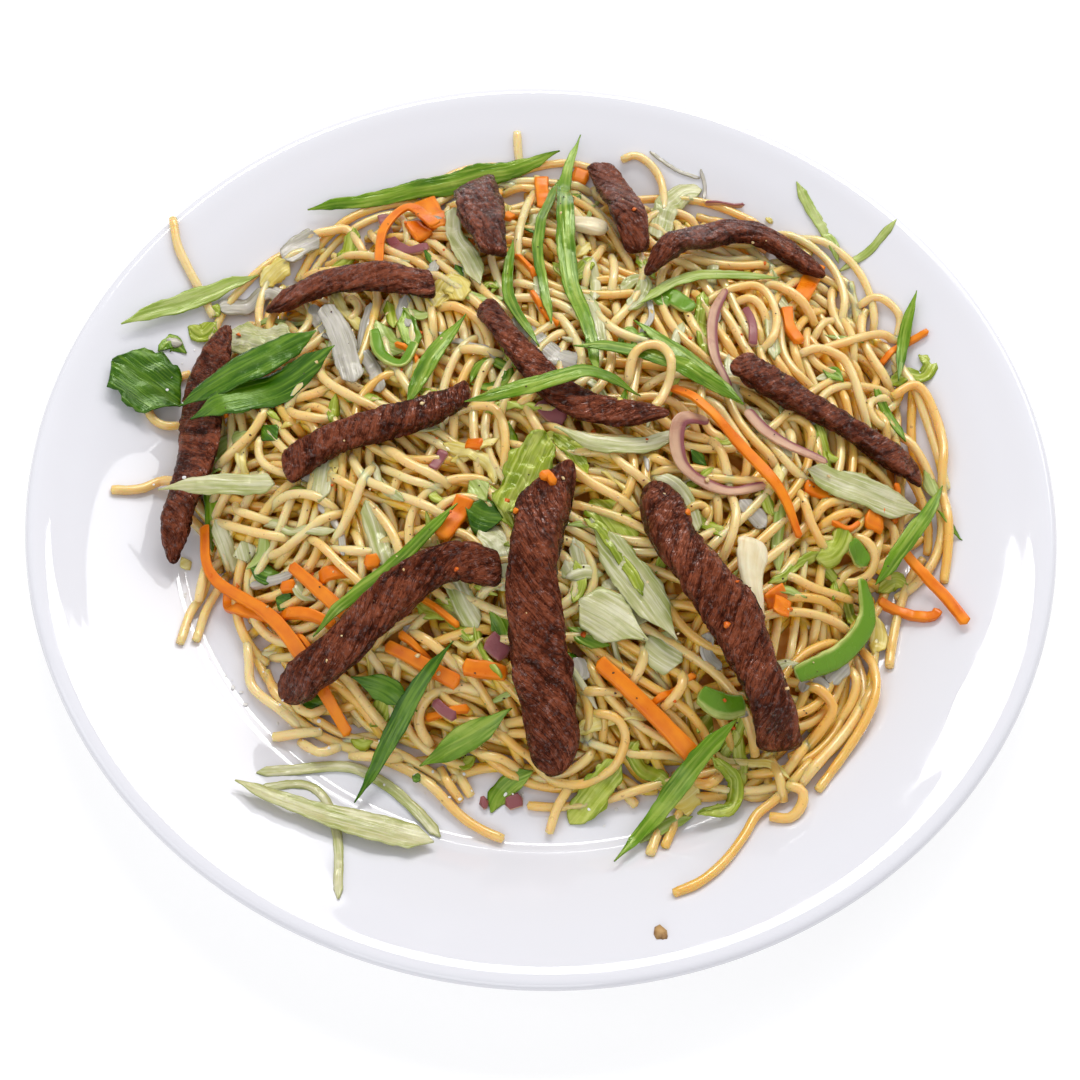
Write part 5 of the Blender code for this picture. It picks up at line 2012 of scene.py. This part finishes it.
@dataclass
class BeefStrips:
    """Fried beef, cut into strips: flat-topped, ragged along the edges, its fibres at a slant."""

    step: float = 0.42
    sides: int = 72
    lump: float = 0.11
    ridge: float = 0.4
    grit: float = 0.12
    crease: float = 0.3
    fibre_length: float = 6.0  # how much longer than wide a fibre is
    corners: tuple[Place, ...] = (
        (-0.95, -0.8), (-1.0, 0.4), (-0.7, 1.0), (0.74, 0.9), (1.02, 0.25), (0.9, -0.8),
    )
    grain: dict[str, float] = field(default_factory=lambda: {
        "beef_left": 65.0, "beef_upper_left": 25.0, "beef_far": 12.0, "beef_far_middle": 35.0,
        "beef_far_right": 14.0, "beef_centre": 30.0, "beef_right": 60.0, "beef_middle_left": 68.0,
        "beef_front_left": 30.0, "beef_front": 42.0, "beef_front_right": -50.0,
    })

    @staticmethod
    def faded(travel: np.ndarray, tapers: Place) -> np.ndarray:
        """How wide a strip is towards its ends.

        Args:
            travel: distances along it.
            tapers: how far each end tapers.

        Returns:
            Shares from 0 to 1.
        """
        blunt, blunt_power, slim_power, roundness = 4, 2.6, 1.7, 1.9
        out = np.ones(len(travel))
        for place, taper in ((travel, tapers[0]), (travel[-1] - travel, tapers[1])):
            share = np.clip(place / taper, 0, 1)
            power = blunt_power if taper < blunt else slim_power
            out *= (1 - (1 - share) ** power) ** (1 / roundness)
        return out

    def outline(self, angle: np.ndarray) -> np.ndarray:
        """How far the strip's section reaches in each direction, as a share of its half width.

        Args:
            angle: directions, in radians.

        Returns:
            The reach.
        """
        corners = np.array(self.corners + self.corners[:1])
        marks = np.linspace(0, len(corners) - 1, 241)
        edge = np.stack([np.interp(marks, range(len(corners)), column) for column in corners.T], axis=1)
        turns = np.arctan2(edge[:, 1], edge[:, 0])
        order = np.argsort(turns)
        reach = blurred(np.hypot(*edge[order].T), 2)
        return np.interp(angle, turns[order], reach, period=2 * math.pi)

    def relief(self, section: np.ndarray, fibre: np.ndarray, index: int) -> np.ndarray:
        """How far the meat stands out: fibres between grooves, grit and a few creases.

        Args:
            section: where each point lies on the strip, in millimetres.
            fibre: where it lies among the fibres, across and along them.
            index: which strip, for its chance.

        Returns:
            Millimetres.
        """
        groove_width, crease_width = 0.2, 0.09
        grooves = np.clip(1 - np.abs(cloud(fibre, 2.2, index + 40)) / groove_width, 0, 1)
        creases = np.clip(1 - np.abs(cloud(section * (1, 1, 0.6), 5.0, index + 80)) / crease_width, 0, 1)
        fibres = self.ridge * (0.4 - grooves + 0.6 * cloud(fibre, 1.2, index + 41))
        return fibres + self.grit * cloud(section, 1.1, index + 60) - self.crease * creases

    @staticmethod
    def bias(travel: np.ndarray, index: int) -> np.ndarray:
        """How much each end was cut at a slant.

        Args:
            travel: distances along the strip.
            index: which strip, for its chance.

        Returns:
            How far a place is sheared along the strip, per millimetre across it.
        """
        reach, most = 9, 0.5
        first, last = most * math.sin(2.1 * index + 0.6), most * math.sin(3.7 * index + 1.4)
        at_first = np.clip(1 - travel / reach, 0, 1)
        at_last = np.clip(1 - (travel[-1] - travel) / reach, 0, 1)
        return first * at_first + last * at_last

    def build(self, cut: Cut, index: int, finish: bpy.types.Material) -> bpy.types.Object:
        """Makes one strip over its solid.

        Args:
            cut: the strip.
            index: which strip, for its chance.
            finish: its material.

        Returns:
            The strip.
        """
        lie = lie_of(cut, self.step)
        fade = self.faded(lie.travel, cut.tapers)[:, None]
        turn = np.linspace(0, 2 * math.pi, self.sides + 1)
        cos, sin = np.cos(turn), np.sin(turn)
        s = lie.travel[:, None]
        mirror = -1 if index % 2 else 1
        reach = self.outline(np.arctan2(sin, mirror * cos) + 0.3 * ripple(s, 0 * s, 45.0, index))
        flat, tall = cos * reach, sin * reach
        half, thick = lie.half[:, None], (lie.high - lie.low)[:, None] / 2
        section = np.stack(np.broadcast_arrays(s, half * cos, half * sin), axis=2)
        sway = self.lump * cloud(section, 8.0, index) + 0.7 * self.lump * cloud(section, 3.2, index + 20)
        slant = math.radians(self.grain[cut.node])
        wrap = (turn - math.pi / 2) * half.mean() * 1.15
        across_grain = s * math.sin(slant) + wrap * math.cos(slant)
        along_grain = s * math.cos(slant) - wrap * math.sin(slant)
        closing = np.broadcast_to(np.where(sin < -0.2, 3 * sin, 0), sway.shape)
        fibre = np.stack([across_grain, along_grain / self.fibre_length, closing], axis=2)
        relief = self.relief(section, fibre, index)
        # Painted shade, stored as the attribute "edge": darker in the grooves and creases, lighter on the
        # fibres' tops, and darker on the sides and underside.
        shade = np.clip(0.6 + relief / (2.0 * self.ridge) - 0.4 * (1 - np.clip(1.5 * tall, 0, 1)), 0, 1)
        relief = relief * np.minimum(fade * 1.5, 1)
        across = half * fade * flat * (1 + sway) + relief * cos
        up = thick * (0.25 + 0.75 * fade) * np.minimum(fade * 3, 1) * tall * (1 + 0.8 * sway) + relief * sin
        rings = strip_points(lie, across, up)
        forward = np.stack([lie.side[:, 1], -lie.side[:, 0]], axis=1)
        rings[..., :2] += forward[:, None, :] * (self.bias(lie.travel, index)[:, None] * across)[..., None]
        uv = np.stack([across_grain, along_grain], axis=2) / 10
        piece = wrapped(cut.node + "_meat", rings, uv, np.broadcast_to(shade, rings.shape[:2]), True)
        return dress(piece, finish, Material.BEEF, cut.node)


@dataclass
class Leaves:
    """Thin leaves: spring onion blades, leek slices and cabbage."""

    step: float = 0.9
    columns: int = 13
    thickness: float = 0.35
    fold: float = 0.35
    curl: float = 0.25
    crumple: float = 0.06
    ragged: float = 0.06

    def build(self, cut: Cut, slot: Material, finish: bpy.types.Material) -> bpy.types.Object:
        """Makes one leaf over its solid.

        Args:
            cut: the leaf.
            slot: the material slot.
            finish: its material.

        Returns:
            The leaf.
        """
        seed = sum(map(ord, cut.node)) % 17
        piece = self.shape(cut.node + "_leaf", lie_of(cut, self.step), seed, cut.tapers)
        return dress(piece, finish, slot, cut.node)

    def shape(self, name: str, lie: Lie, seed: int, tapers: Place) -> bpy.types.Object:
        """Makes a leaf where it lies.

        Args:
            name: its name.
            lie: how it lies.
            seed: its chance.
            tapers: how far each end tapers.

        Returns:
            The leaf.
        """
        share = np.linspace(-1, 1, self.columns)
        longest = lie.travel[-1] * 0.46
        starting = lie.travel / min(tapers[0], longest)
        ending = (lie.travel[-1] - lie.travel) / min(tapers[1], longest)
        point = np.clip(np.minimum(starting, ending), 0.03, 1) ** 0.95
        half = lie.half * point * 1.08
        s = lie.travel[:, None]
        tears = ripple(s, share * 3, 6.0, seed) + 0.7 * ripple(s, share * 3, 2.6, seed + 4.0)
        bends = 0.12 * half[:, None] * ripple(s, 0 * share, 16.0, seed + 3.0)
        across = half[:, None] * share * (1 + self.ragged * tears) + bends
        ridge = self.fold if seed % 3 else -self.fold
        deep = np.minimum(1, half / 2.5)[:, None]
        arch = ridge * deep * (0.5 - np.abs(share) ** 0.9)
        edges = self.curl * ripple(s, share * 4, 13.0, seed + 2.0) * np.abs(share) ** 2
        creases = self.crumple * ripple(s, across, 5.0, seed + 5.0)
        creases += 0.5 * self.crumple * ripple(s, across, 2.2, seed + 8.0)
        rings = strip_points(lie, across, arch + edges + creases)
        uv = np.stack(np.broadcast_arrays(across / 10 + 0.5 + seed, s / 10 + seed), axis=2)
        edge = np.broadcast_to(np.abs(share), rings.shape[:2])
        return thickened(wrapped(name, rings, uv, edge, False), self.thickness)


@dataclass
class Batons:
    """Solid vegetable pieces with a rounded section, such as carrot sticks and onion arcs."""

    slot: Material
    step: float = 0.8
    sides: int = 20
    squareness: float = 0.35
    wobble: float = 0.05
    fade: float = 0.5
    slimness: Place = (1.0, 1.0)
    skin_turn: float = 0.0

    def build(self, cut: Cut, finish: bpy.types.Material) -> bpy.types.Object:
        """Makes one piece over its solid.

        Args:
            cut: the piece.
            finish: its material.

        Returns:
            The piece.
        """
        piece = self.shape(cut.node + "_piece", lie_of(cut, self.step), sum(map(ord, cut.node)) % 13)
        return dress(piece, finish, self.slot, cut.node)

    def shape(self, name: str, lie: Lie, seed: int) -> bpy.types.Object:
        """Makes a piece where it lies.

        Args:
            name: its name.
            lie: how it lies.
            seed: its chance.

        Returns:
            The piece.
        """
        turn = np.linspace(0, 2 * math.pi, self.sides + 1) + math.pi / 4
        cos, sin = np.cos(turn), np.sin(turn)
        flat = np.sign(cos) * np.abs(cos) ** self.squareness
        tall = np.sign(sin) * np.abs(sin) ** self.squareness
        ends = end_fade(lie.travel, min(self.fade, lie.travel[-1] / 3))[:, None]
        s = lie.travel[:, None]
        half = lie.half[:, None] * self.slimness[0]
        thick = (lie.high - lie.low)[:, None] / 2 * self.slimness[1]
        section = np.stack(np.broadcast_arrays(s, half * cos, thick * sin), axis=2)
        lumps = 1 + self.wobble * (1.4 * cloud(section, 6.0, seed) + 0.7 * cloud(section, 1.8, seed + 9))
        rings = strip_points(lie, half * flat * lumps * ends, thick * tall * lumps * ends)
        uv = np.stack(np.broadcast_arrays(turn * half.mean() / 10 + seed, s / 10 + seed), axis=2)
        edge = np.broadcast_to(0.5 + 0.5 * np.sin(turn + self.skin_turn), rings.shape[:2])
        return wrapped(name, rings, uv, edge, True)


@dataclass
class Garnish:
    """The small vegetable pieces that have no solid of their own, laid where the picture shows them."""

    SLIVER: ClassVar[float] = 3.1  # the widest piece that is strewn and not placed
    STREWN: ClassVar[tuple[Look, ...]] = (
        Look.PALE, Look.PALE, Look.LIME, Look.LIME, Look.WHITE, Look.YELLOW, Look.SOFT, Look.CARROT,
    )

    ground: Ground
    view: View
    step: float = 0.8
    sink: float = 0.3
    made: dict[Look, list[bpy.types.Object]] = field(default_factory=dict)

    def bed(self, route: np.ndarray, width: float, thickness: float, tucked: bool) -> Lie:
        """How a small piece lies on what is there.

        Args:
            route: its places in the plan.
            width: its width.
            thickness: its thickness.
            tucked: whether it goes under the toppings.

        Returns:
            Its lie.
        """
        side = side_of(route)
        half = np.full(len(route), width / 2)
        rows, roof = [], np.full(len(route), SKY)
        for share in np.linspace(-0.85, 0.85, 5):
            cell = self.ground.cells(route + side * half[:, None] * share)
            rows.append(self.ground.top[cell])
            roof = np.minimum(roof, self.ground.under[cell])
        held = np.sort(rows, axis=0)[2:].mean(axis=0)
        middle = blurred(held, 3) + thickness / 2 - self.sink
        if tucked:
            middle = np.minimum(middle, roof - thickness / 2 - 0.2)
        floor = self.ground.plate[self.ground.cells(route)]
        middle = np.maximum(blurred(middle, 1), floor + thickness / 2 + 0.1)
        tilt = blurred(np.clip((rows[-1] + rows[-2] - rows[0] - rows[1]) / (2.5 * width), -0.5, 0.5), 4)
        return Lie(route, side, half, middle - thickness / 2, middle + thickness / 2, tilt)

    def stamp(self, lie: Lie) -> None:
        """Raises the ground by a piece."""
        for share in np.linspace(-1, 1, 9):
            offset = lie.half * share
            cell = self.ground.cells(lie.route + lie.side * offset[:, None])
            np.maximum.at(self.ground.top, cell, lie.high + lie.tilt * offset)

    def lay(self, shreds: dict[Look, tuple[Shred, ...]], tucked: bool = True) -> None:
        """Lays small pieces on what is there.

        Args:
            shreds: the pieces of each look.
            tucked: whether they go under the toppings.
        """
        for look, rows in shreds.items():
            for width, *spots in rows:
                self.add(look, self.view.route(spots, self.ground, self.step), width, tucked)

    def add(self, look: Look, route: np.ndarray, width: float, tucked: bool) -> None:
        """Lays one small piece.

        Args:
            look: what it is.
            route: its places in the plan.
            width: its width.
            tucked: whether it goes under the toppings.
        """
        slot, tint, thickness = look.value
        lie = self.bed(route, width, thickness, tucked)
        self.stamp(lie)
        seed = int(route[0, 0] * 7 + route[0, 1] * 3) % 97
        name = f"{look.name.lower()}_{seed}"
        if tint is None:
            squareness, fade = (0.5, 2.5) if slot is Material.PEPPER else (0.4, 0.6)
            piece = Batons(slot, squareness=squareness, fade=fade, wobble=0.1).shape(name, lie, seed)
        else:
            frilly = slot is Material.CABBAGE
            curl, crumple, ragged = (0.8, 0.35, 0.16) if frilly else (0.3, 0.08, 0.07)
            taper = {Look.WHITE: 1.2, Look.PALE: 2.5}.get(look, 2.5 if frilly else 4.0)
            leaves = Leaves(columns=9 if width > self.SLIVER else 5, thickness=thickness, fold=0.4,
                            curl=curl, crumple=crumple, ragged=ragged)
            piece = leaves.shape(name, lie, seed, (taper, taper))
        self.made.setdefault(look, []).append(piece)

    def strew(self, heap: NoodleHeap, count: int, seed: int) -> None:
        """Strews slivers of leaf among the noodles.

        Args:
            heap: the noodles.
            count: how many.
            seed: the seed of their chance.
        """
        rng = random.Random(seed)
        for k in range(count):
            angle = k * GOLDEN_TURN
            reach = 0.93 * math.sqrt((k + 0.5) / count) * self.ground.reach[int(math.degrees(angle)) % 360]
            middle = np.array([reach * math.cos(angle), reach * math.sin(angle)])
            heading = heap.heading(*middle) + rng.gauss(0, 0.7)
            along = np.array([math.cos(heading), math.sin(heading)])
            half, bow = rng.uniform(4, 11), rng.uniform(-2.5, 2.5)
            bend = np.array([-along[1], along[0]]) * bow
            look = rng.choice(self.STREWN)
            width = rng.uniform(1.2, self.SLIVER if look is not Look.CARROT else 1.8)
            route = smooth_route((middle - along * half, middle + bend, middle + along * half), self.step)
            self.add(look, route, width, True)

    def gather(self, finishes: dict[Look, bpy.types.Material]) -> None:
        """Joins the pieces of each look and gives them their finish.

        Args:
            finishes: each look's material.
        """
        for look, pieces in self.made.items():
            dress(joined(f"{look.name.lower()}_shreds", pieces), finishes[look], look.value[0])


@dataclass
class Sprinkles:
    """Tiny irregular bits that lie about: pepper, flecks of carrot and garlic, drops of oil."""

    ground: Ground
    view: View
    seed: int = 5

    def spots(self, count: int, low: float, high: float) -> np.ndarray:
        """Chance places on the heap.

        Args:
            count: how many.
            low: the nearest to the middle, as a share of the heap's reach.
            high: the furthest.

        Returns:
            Places in the plan.
        """
        rng = np.random.default_rng(self.seed)
        angle = rng.uniform(0, 2 * math.pi, count)
        share = np.sqrt(rng.uniform(low * low, high * high, count))
        reach = self.ground.reach[(np.degrees(angle)).astype(int) % 360]
        return np.stack([reach * share * np.cos(angle), reach * share * np.sin(angle)], axis=1)

    def strew(self, name: str, places: np.ndarray, sizes: Place, flatness: float, slot: Material,
              finish: bpy.types.Material) -> None:
        """Makes one piece of many bits.

        Args:
            name: the piece's name.
            places: where they lie, in the plan.
            sizes: the smallest and the largest radius, in millimetres.
            flatness: their height as a share of their width.
            slot: the material slot.
            finish: their material.
        """
        rng = np.random.default_rng(self.seed + len(places))
        drops = flatness < 0.3
        deselect_all()
        bpy.ops.mesh.primitive_ico_sphere_add(subdivisions=2 if drops else 1, radius=1)
        piece = bpy.context.active_object
        shape = np.array([vertex.co[:] for vertex in piece.data.vertices])
        faces = np.array([face.vertices[:] for face in piece.data.polygons])
        height = self.ground.top[self.ground.cells(places)]
        points, corners = [], []
        for k, (x, y) in enumerate(places):
            size = rng.uniform(*sizes)
            lumps = 1 + (0.0 if drops else 0.35) * rng.uniform(-1, 1, (len(shape), 1))
            stretch = np.array([rng.uniform(0.7, 1.4), rng.uniform(0.7, 1.2), flatness])
            turn = rng.uniform(0, math.pi)
            bit = shape * lumps * stretch * size
            cos, sin = math.cos(turn), math.sin(turn)
            flat = bit[:, :2] @ np.array([[cos, sin], [-sin, cos]])
            points.append(np.column_stack([flat + (x, y), bit[:, 2] + height[k] + 0.1 * size]))
            corners.append(faces + k * len(shape))
        mesh = bpy.data.meshes.new(name)
        mesh.from_pydata((np.vstack(points) * MM).tolist(), [], np.vstack(corners).tolist())
        piece.data, old = mesh, piece.data
        bpy.data.meshes.remove(old)
        piece.name = name
        bpy.ops.object.shade_smooth()
        dress(piece, finish, slot)

    def build(self) -> None:
        """Strews all of them."""
        pepper = PlainFinish("ground_pepper", (0.03, 0.014, 0.007), (0.12, 0.055, 0.025), 900.0, 0.5)
        fleck = PlainFinish("carrot_fleck", (0.55, 0.07, 0.004), (0.8, 0.2, 0.02), 900.0, 0.3)
        crumb = PlainFinish("garlic_crumb", (0.6, 0.36, 0.12), (0.82, 0.66, 0.36), 700.0, 0.3)
        for name, count, low, high, sizes, flatness, slot, finish in (
                ("pepper_specks", 260, 0.05, 0.97, (0.13, 0.34), 0.6, Material.BEEF, pepper),
                ("carrot_flecks", 34, 0.1, 0.95, (0.35, 0.85), 0.5, Material.CARROT, fleck),
                ("garlic_crumbs", 90, 0.1, 0.95, (0.25, 0.6), 0.6, Material.GARLIC, crumb)):
            self.strew(name, self.spots(count, low, high), sizes, flatness, slot, finish.make())
            self.seed += 1
        oil = PlainFinish("cooking_oil", (0.73, 0.71, 0.68), (0.755, 0.745, 0.74), 60.0, 0.04).make()
        places = self.spots(160, 1.03, 1.15)
        front_left = places[places.sum(axis=1) < -60]
        self.strew("oil_drops", front_left, (0.2, 0.55), 0.12, Material.GLAZE, oil)
        crust = PlainFinish("stray_crumb", (0.2, 0.09, 0.03), (0.5, 0.3, 0.12), 500.0, 0.5).make()
        stray = np.array([self.view.plan(spot, self.ground) for spot in STRAY_CRUMBS])
        self.strew("stray_crumbs", stray, (0.9, 1.5), 0.6, Material.BEEF, crust)


# ---------------------------------------------------------------------------------------
# Stage
# ---------------------------------------------------------------------------------------


@dataclass
class Studio:
    """The pale floor and the lights."""

    floor_half: float = 3.0
    air: Colour = (0.96, 0.97, 1.0)
    air_strength: float = 0.62

    def floor(self) -> None:
        """Lays the floor."""
        ticks = np.linspace(-self.floor_half, self.floor_half, 25) / MM
        x, y = np.meshgrid(ticks, ticks)
        rings = np.stack([x, y, np.zeros_like(x) - 0.05], axis=2)
        piece = wrapped("floor", rings, rings[..., :2] / 100, np.zeros(x.shape), False)
        finish = PlainFinish("pale_floor", (0.4, 0.4, 0.403), (0.415, 0.415, 0.418), 3.0, 0.8, 0.63)
        piece.data.materials.append(finish.make())

    def light(self, name: str, azimuth: float, elevation: float, sides: Place, radiance: float,
              colour: Colour = (1, 1, 1), distance: float = 1.2) -> None:
        """Hangs one soft window of light that looks at the plate.

        Args:
            name: the light's name.
            azimuth: its direction, in degrees from +X.
            elevation: its height, in degrees.
            sides: its width and height, in metres.
            radiance: how bright its face is.
            colour: its colour.
            distance: how far away it hangs, in metres.
        """
        a, e = math.radians(azimuth), math.radians(elevation)
        towards = Vector((math.cos(a) * math.cos(e), math.sin(a) * math.cos(e), math.sin(e)))
        data = bpy.data.lights.new(name, "AREA")
        data.shape = "RECTANGLE"
        data.size, data.size_y = sides
        data.energy = radiance * math.pi * sides[0] * sides[1]
        data.color = colour
        lamp = bpy.data.objects.new(name, data)
        bpy.context.scene.collection.objects.link(lamp)
        lamp.location = towards * distance
        lamp.rotation_mode = "QUATERNION"
        lamp.rotation_quaternion = towards.to_track_quat("Z", "Y")

    def build(self) -> None:
        """Sets the stage."""
        self.floor()
        self.light("window", 92, 51, (0.55, 0.24), 14.0, (1.0, 0.99, 0.97))
        self.light("far_window", 60, 38, (0.85, 0.48), 3.4)
        self.light("side_window", 200, 42, (0.8, 0.6), 1.2, (0.97, 0.985, 1.0))
        self.light("front_window", 262, 40, (0.7, 0.5), 2.0, (0.97, 0.985, 1.0))
        world = bpy.data.worlds.new("studio_air")
        world.use_nodes = True
        world.node_tree.nodes["Background"].inputs["Color"].default_value = (*self.air, 1.0)
        world.node_tree.nodes["Background"].inputs["Strength"].default_value = self.air_strength
        bpy.context.scene.world = world
        bpy.context.scene.view_settings.view_transform = "Standard"
        bpy.context.scene.view_settings.look = "None"


def make_finishes() -> dict[Look, bpy.types.Material]:
    """Makes the material of every look."""
    finishes = {look: LeafFinish(f"{look.name.lower()}_leaf", look.value[1]).make()
                for look in Look if look.value[1] is not None}
    finishes[Look.CARROT] = FleshFinish("carrot", (0.66, 0.12, 0.002), (0.86, 0.26, 0.007),
                                        (0.9, 0.3, 0.02), translucence=0.1).make()
    finishes[Look.ONION] = FleshFinish("red_onion", (0.4, 0.2, 0.13), (0.58, 0.37, 0.24),
                                       (0.25, 0.075, 0.085), 0.4).make()
    finishes[Look.PEPPER] = FleshFinish("green_pepper", (0.17, 0.28, 0.02), (0.52, 0.55, 0.17),
                                        (0.12, 0.26, 0.012), 0.35, roughness=0.2).make()
    finishes[Look.GARLIC] = FleshFinish("garlic", (0.68, 0.56, 0.32), (0.84, 0.76, 0.54),
                                        (0.8, 0.8, 0.7), roughness=0.2).make()
    return finishes


def build_toppings(finishes: dict[Look, bpy.types.Material]) -> None:
    """Makes every topping that has a solid of its own.

    Args:
        finishes: each look's material.
    """
    beef = BeefFinish().make()
    strips = BeefStrips()
    for index, cut in enumerate(BEEF_CUTS):
        strips.build(cut, index, beef)
    shapes = {
        Material.BLADE: Leaves(),
        Material.LEEK: Leaves(thickness=0.45, fold=0.45, curl=0.5, crumple=0.15),
        Material.CABBAGE: Leaves(thickness=0.5, fold=0.5, curl=1.4, crumple=0.8, ragged=0.16),
    }
    crumpled = Leaves(fold=0.8, curl=1.3, crumple=0.6, ragged=0.1)
    for slot, cuts in LEAF_CUTS.items():
        for cut in cuts:
            look = next(look for look in Look if look.value[1] is cut.tint)
            shape = crumpled if cut.node == "leaf_left" else shapes[slot]
            shape.build(cut, slot, finishes[look])
    garlic, rib = GARLIC_CUTS
    for cuts, look, batons in (
            (CARROT_CUTS, Look.CARROT, Batons(Material.CARROT, slimness=(0.86, 0.62))),
            (ONION_CUTS, Look.ONION, Batons(Material.ONION, squareness=0.6, fade=1.6, slimness=(1.0, 0.6),
                                            skin_turn=1.4)),
            (PEPPER_CUTS, Look.PEPPER, Batons(Material.PEPPER, squareness=0.6, wobble=0.1, fade=1.2,
                                              slimness=(0.9, 0.72), skin_turn=0.7)),
            ((garlic,), Look.GARLIC, Batons(Material.GARLIC, squareness=0.8, fade=2.4, wobble=0.1)),
            ((rib,), Look.GARLIC, Batons(Material.CABBAGE, squareness=0.8, fade=2.4, wobble=0.1))):
        for cut in cuts:
            batons.build(cut, finishes[look])


def main() -> None:
    """Builds the dressed plate."""
    logging.basicConfig(level=logging.INFO, format="%(name)s %(message)s")
    view = View()
    view.camera()
    Studio().build()
    Plate().build(GlazeFinish().make())
    covers = {name: Probe(name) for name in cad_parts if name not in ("plate", "noodles")}
    ground = Ground(covers)
    heap = NoodleHeap(ground, view)
    garnish = Garnish(ground, view)
    noodle = NoodleFinish().make()
    # The core's deep amber is painted warm shade, seen in the gaps between the loose noodles.
    packed_warm_shade = PlainFinish("packed_noodle", (0.7, 0.3, 0.02), (0.82, 0.42, 0.07), 500.0, 0.3).make()
    heap.build_body(noodle, packed_warm_shade)
    garnish.lay(LOW_SHREDS)
    garnish.strew(heap, 90, 21)
    heap.build_top(noodle)
    garnish.lay(HIGH_SHREDS)
    heap.store_gap_depth()
    ground.cover_all()
    heap.build_over(noodle)
    garnish.lay(OVER_SHREDS, False)
    finishes = make_finishes()
    garnish.gather(finishes)
    Sprinkles(ground, view).build()
    build_toppings(finishes)


if __name__ == "__main__":
    main()
